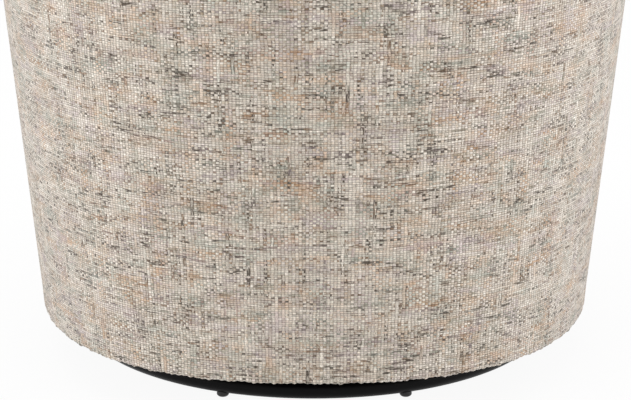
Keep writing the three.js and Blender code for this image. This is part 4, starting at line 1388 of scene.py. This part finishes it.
def rivet_profile():
    """A shank with a chamfered head at one end and a domed one at the other."""
    tail, tip = (corner.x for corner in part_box("pivot_rivet_left"))
    shank, head, rise, chamfer = 0.006, 0.011, 0.004, 0.0012
    dome = [(head * math.cos(turn), tip - rise + rise * math.sin(turn))
            for turn in np.linspace(0.12, math.pi / 2, 10)[:-1]]
    return [(0, tail), (head - chamfer, tail), (head, tail + chamfer), (head, tail + rise),
            (shank, tail + rise), (shank, tip - rise), (head, tip - rise), *dome, (0, tip)]


def make_rocker():
    for name, body in (("swivel_cradle", "swivel"), ("rocker_plate", "seat")):
        place_piece(softened_copy(name, 0.0005), body, "black_metal", name)
    pieces = (("pivot_bush_", bush_profile(), "nylon"), ("pivot_rivet_", rivet_profile(), "zinc_steel"))
    for side, label in ((1, "left"), (-1, "right")):
        for start, profile, slot in pieces:
            name = start + label
            piece = lay_on_pivot(turned(name + "_detail", profile, 0.0003, 48), side)
            place_piece(piece, "swivel", slot, name)


def make_stops():
    """Waisted rubber stops."""
    for name in ("bump_stop_back", "bump_stop_front"):
        low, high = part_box(name)
        rise, wide = high.z - low.z, (high.x - low.x) / 2
        profile = [(0, low.z), (wide, low.z), (wide, low.z + 0.003), (wide * 0.78, low.z + rise * 0.30),
                   (wide * 0.64, low.z + rise * 0.5), (wide * 0.66, low.z + rise * 0.7),
                   (0.0097, high.z - 0.003), (0.0085, high.z), (0, high.z)]
        stop = turned(name + "_detail", profile, 0.0022, 48, (0, (low.y + high.y) / 2, 0))
        place_piece(stop, "swivel", "rubber", name)


def make_springs():
    """Coil springs with closed ends, that stretch between the cradle and the rocker plate."""
    coils, end_pitch = 5, 0.0058
    laps = np.linspace(0, coils, 36 * coils + 1)
    ended = np.minimum(laps, 1) + np.maximum(laps - coils + 1, 0)
    opened = np.clip(laps - 1, 0, coils - 2)
    for label in ("back_left", "back_right", "front_right", "front_left"):
        node = "coil_spring_" + label
        low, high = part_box(node)
        middle = middle_of(low, high)
        bottom, top = low.z + spring_wire / 2, high.z - spring_wire / 2
        open_pitch = (top - bottom - 2 * end_pitch) / (coils - 2)
        heights = bottom + ended * end_pitch + opened * open_pitch
        path = circle_points(2 * math.pi * laps, spring_radius, heights) + middle
        spring = tube(node + "_wire", path, spring_wire / 2, 14)
        finish_piece(spring, "spring_steel")
        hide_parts(node)
        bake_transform(spring)


def make_mount_bolts():
    for number in range(4):
        name = f"mount_bolt_{number + 1}"
        bolt = hexagon_bolt(name, across_flats=0.013, diameter=0.0079, pitch=0.00125)
        place_piece(bolt, "seat", "zinc_steel", name)


# Frame of the seat

def make_seat_wires():
    """Wavy wires that bow up under the deck, with flat ends."""
    wave_length, flat_end = 0.060, 0.020
    for number in range(4):
        name = f"seat_wire_{number + 1}"
        low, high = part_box(name)
        swing = (high.x - low.x) / 2 - wire_radius
        crown = high.z - low.z - 2 * wire_radius
        span = high.y - low.y
        waves = round(span / wave_length)
        along = np.linspace(0, 1, waves * 24 + 1)
        free = np.clip((span * along - flat_end) / (span - 2 * flat_end), 0, 1)
        wave = np.sin(2 * math.pi * waves * along)
        path = np.column_stack([
            (low.x + high.x) / 2 + swing * np.sign(wave) * np.abs(wave) ** 0.85,
            low.y + span * along,
            low.z + wire_radius + crown * 4 * free * (1 - free),
        ])
        place_piece(tube(name + "_wire", path, wire_radius, 10), "seat", "spring_steel", name)


def make_wooden_frame():
    for name in ("cross_rail_left", "cross_rail_right"):
        place_piece(softened_copy(name, 0.001), "seat", "wood", name)
    for name in ("bottom_frame", "seat_frame", "top_rail", "front_rail", "arm_post_left", "arm_post_right",
                 "back_post_left", "back_post_right", "back_post_middle",
                 "front_post_left", "front_post_right"):
        finish_piece(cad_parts[name], "wood")


def make_dust_cover():
    """Black cloth stretched over the underside, turned up and stapled inside the bottom frame."""
    low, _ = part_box("dust_cover")
    turns = even_turns(0, 2 * math.pi, 0.014)[0][:-1]
    thick, turned_up, hole_x, hole_y = 0.0006, 0.012, 0.126, 0.116
    hole_reach = ((np.abs(np.cos(turns)) / hole_x) ** 8 + (np.abs(np.sin(turns)) / hole_y) ** 8) ** (-1 / 8)
    hole = (circle_points(turns, hole_reach, 0) + axis_place)[:, :2]
    outer = on_outline(turns, pad_back + 0.0012, low.z)[:, :2]
    face, back = [], []
    for share in np.linspace(0, 1, 22):
        sag = math.sin(math.pi * share) * (0.0005 + 0.00015 * np.sin(turns * 37))
        flat = hole + (outer - hole) * share
        face.append(np.column_stack([flat, low.z + 0.0008 - sag]))
        back.append(np.column_stack([flat, low.z + 0.0008 - sag + thick]))
    for rise, inner_rise in ((0.0015, 0.0015 + thick), (0.006, 0.006), (turned_up, turned_up)):
        for rows, inset, height in ((face, 0.0008, rise), (back, 0.0008 + thick, inner_rise)):
            rim = on_outline(turns, pad_back + inset, low.z)[:, :2]
            rows.append(np.column_stack([rim, np.full(len(turns), low.z + height)]))
    face = np.array(face)
    sheet = slab("dust_cover_sheet", face, np.array(back), shuts=True)
    place_piece(sheet, "seat", "black_cloth", "dust_cover")
    make_staples(low.z + 0.008)


def make_staples(height):
    """One piece of all the staples that hold the dust cover."""
    turns, _ = even_turns(0, 2 * math.pi, 0.045)
    inset, thick, half_turn = pad_back + 0.0014, 0.0008, 0.016
    points, faces = [], []
    for turn in turns[:-1]:
        faces += grid_faces(2, 4, False, True, start=len(points))
        faces += [[len(points) + corner for corner in corners] for corners in ((3, 2, 1, 0), (4, 5, 6, 7))]
        inward = on_outline(turn, inset + thick, height) - on_outline(turn, inset, height)
        for end in on_outline(np.array([turn - half_turn, turn + half_turn]), inset, height):
            for out, up in ((0, -0.0005), (1, -0.0004), (1, 0.0004), (0, 0.0005)):
                points.append(end + inward * out + np.array([0, 0, up]))
    staples = new_mesh("dust_cover_staples", np.array(points), faces, sharp=30)
    place_piece(staples, "seat", "zinc_steel")


make_covers()
make_inner_pad()
make_facing("arm_facing_left", -arm_end_turn - turn_of(piece_gap), -1)
make_facing("arm_facing_right", front_end_turn + turn_of(piece_gap), 1)
make_deck_pad()
make_cushion()
make_ring()
make_glides()
make_base_arms()
make_bearing()
make_rocker()
make_stops()
make_springs()
make_mount_bolts()
make_seat_wires()
make_wooden_frame()
make_dust_cover()


# Floor, lamps, world and camera

def make_floor():
    """A pale floor that shows nearly white and still keeps the shadow."""
    bpy.ops.mesh.primitive_plane_add(size=30, location=(0, 0, 0))
    floor = bpy.context.object
    floor.name = "floor"
    tree = material_tree("floor")
    diffuse = tree.add("ShaderNodeBsdfDiffuse", {"Color": (0.86, 0.86, 0.86, 1)})
    glow = tree.add("ShaderNodeEmission", {"Color": (1, 1, 1, 1), "Strength": 1.0})
    inputs = {0: tree.times(tree.is_seen(), 0.93), 1: diffuse.outputs[0], 2: glow.outputs[0]}
    mixed = tree.add("ShaderNodeMixShader", inputs)
    tree.add("ShaderNodeOutputMaterial", {0: mixed.outputs[0]})
    floor.data.materials.append(tree.owner)


def make_lamp(name, place, aim, size, power):
    lamp = bpy.data.lights.new(name, "AREA")
    lamp.shape = "DISK"
    lamp.size = size
    lamp.energy = power
    made = new_object(name, lamp)
    made.location = place
    made.rotation_euler = (Vector(aim) - Vector(place)).to_track_quat("-Z", "Y").to_euler()
    made.visible_camera = False


def make_world():
    """Even light from all round, which shows as white."""
    world = bpy.data.worlds.new("studio")
    bpy.context.scene.world = world
    tree = Tree(world)
    strength = tree.spread(tree.is_seen(), 0.0, 1.0, 0.78, 1.0)
    sky = tree.add("ShaderNodeBackground", {"Color": (1, 1, 1, 1), "Strength": strength})
    tree.add("ShaderNodeOutputWorld", {0: sky.outputs[0]})


def make_camera():
    """A camera behind the chair that looks a little down on it."""
    distance, height, tilt = 3.0, 1.0344, 0.2864
    lens = bpy.data.cameras.new("camera")
    lens.lens = 154.92
    lens.sensor_width = 36
    camera = new_object("camera", lens)
    camera.location = (-0.0013, distance + axis_y, height)
    camera.rotation_euler = (math.pi / 2 - tilt, 0, math.pi)
    bpy.context.scene.camera = camera


make_floor()
make_lamp("overhead", (0.3, 0.4, 3.2), (0, 0, 0.3), 3.0, 26)
make_lamp("side_left", (2.8, 0.5, 1.1), (0, 0, 0.35), 2.2, 34)
make_lamp("side_right", (-2.8, 0.5, 1.1), (0, 0, 0.35), 2.2, 34)
make_world()
make_camera()
bpy.context.scene.view_settings.view_transform = "Standard"
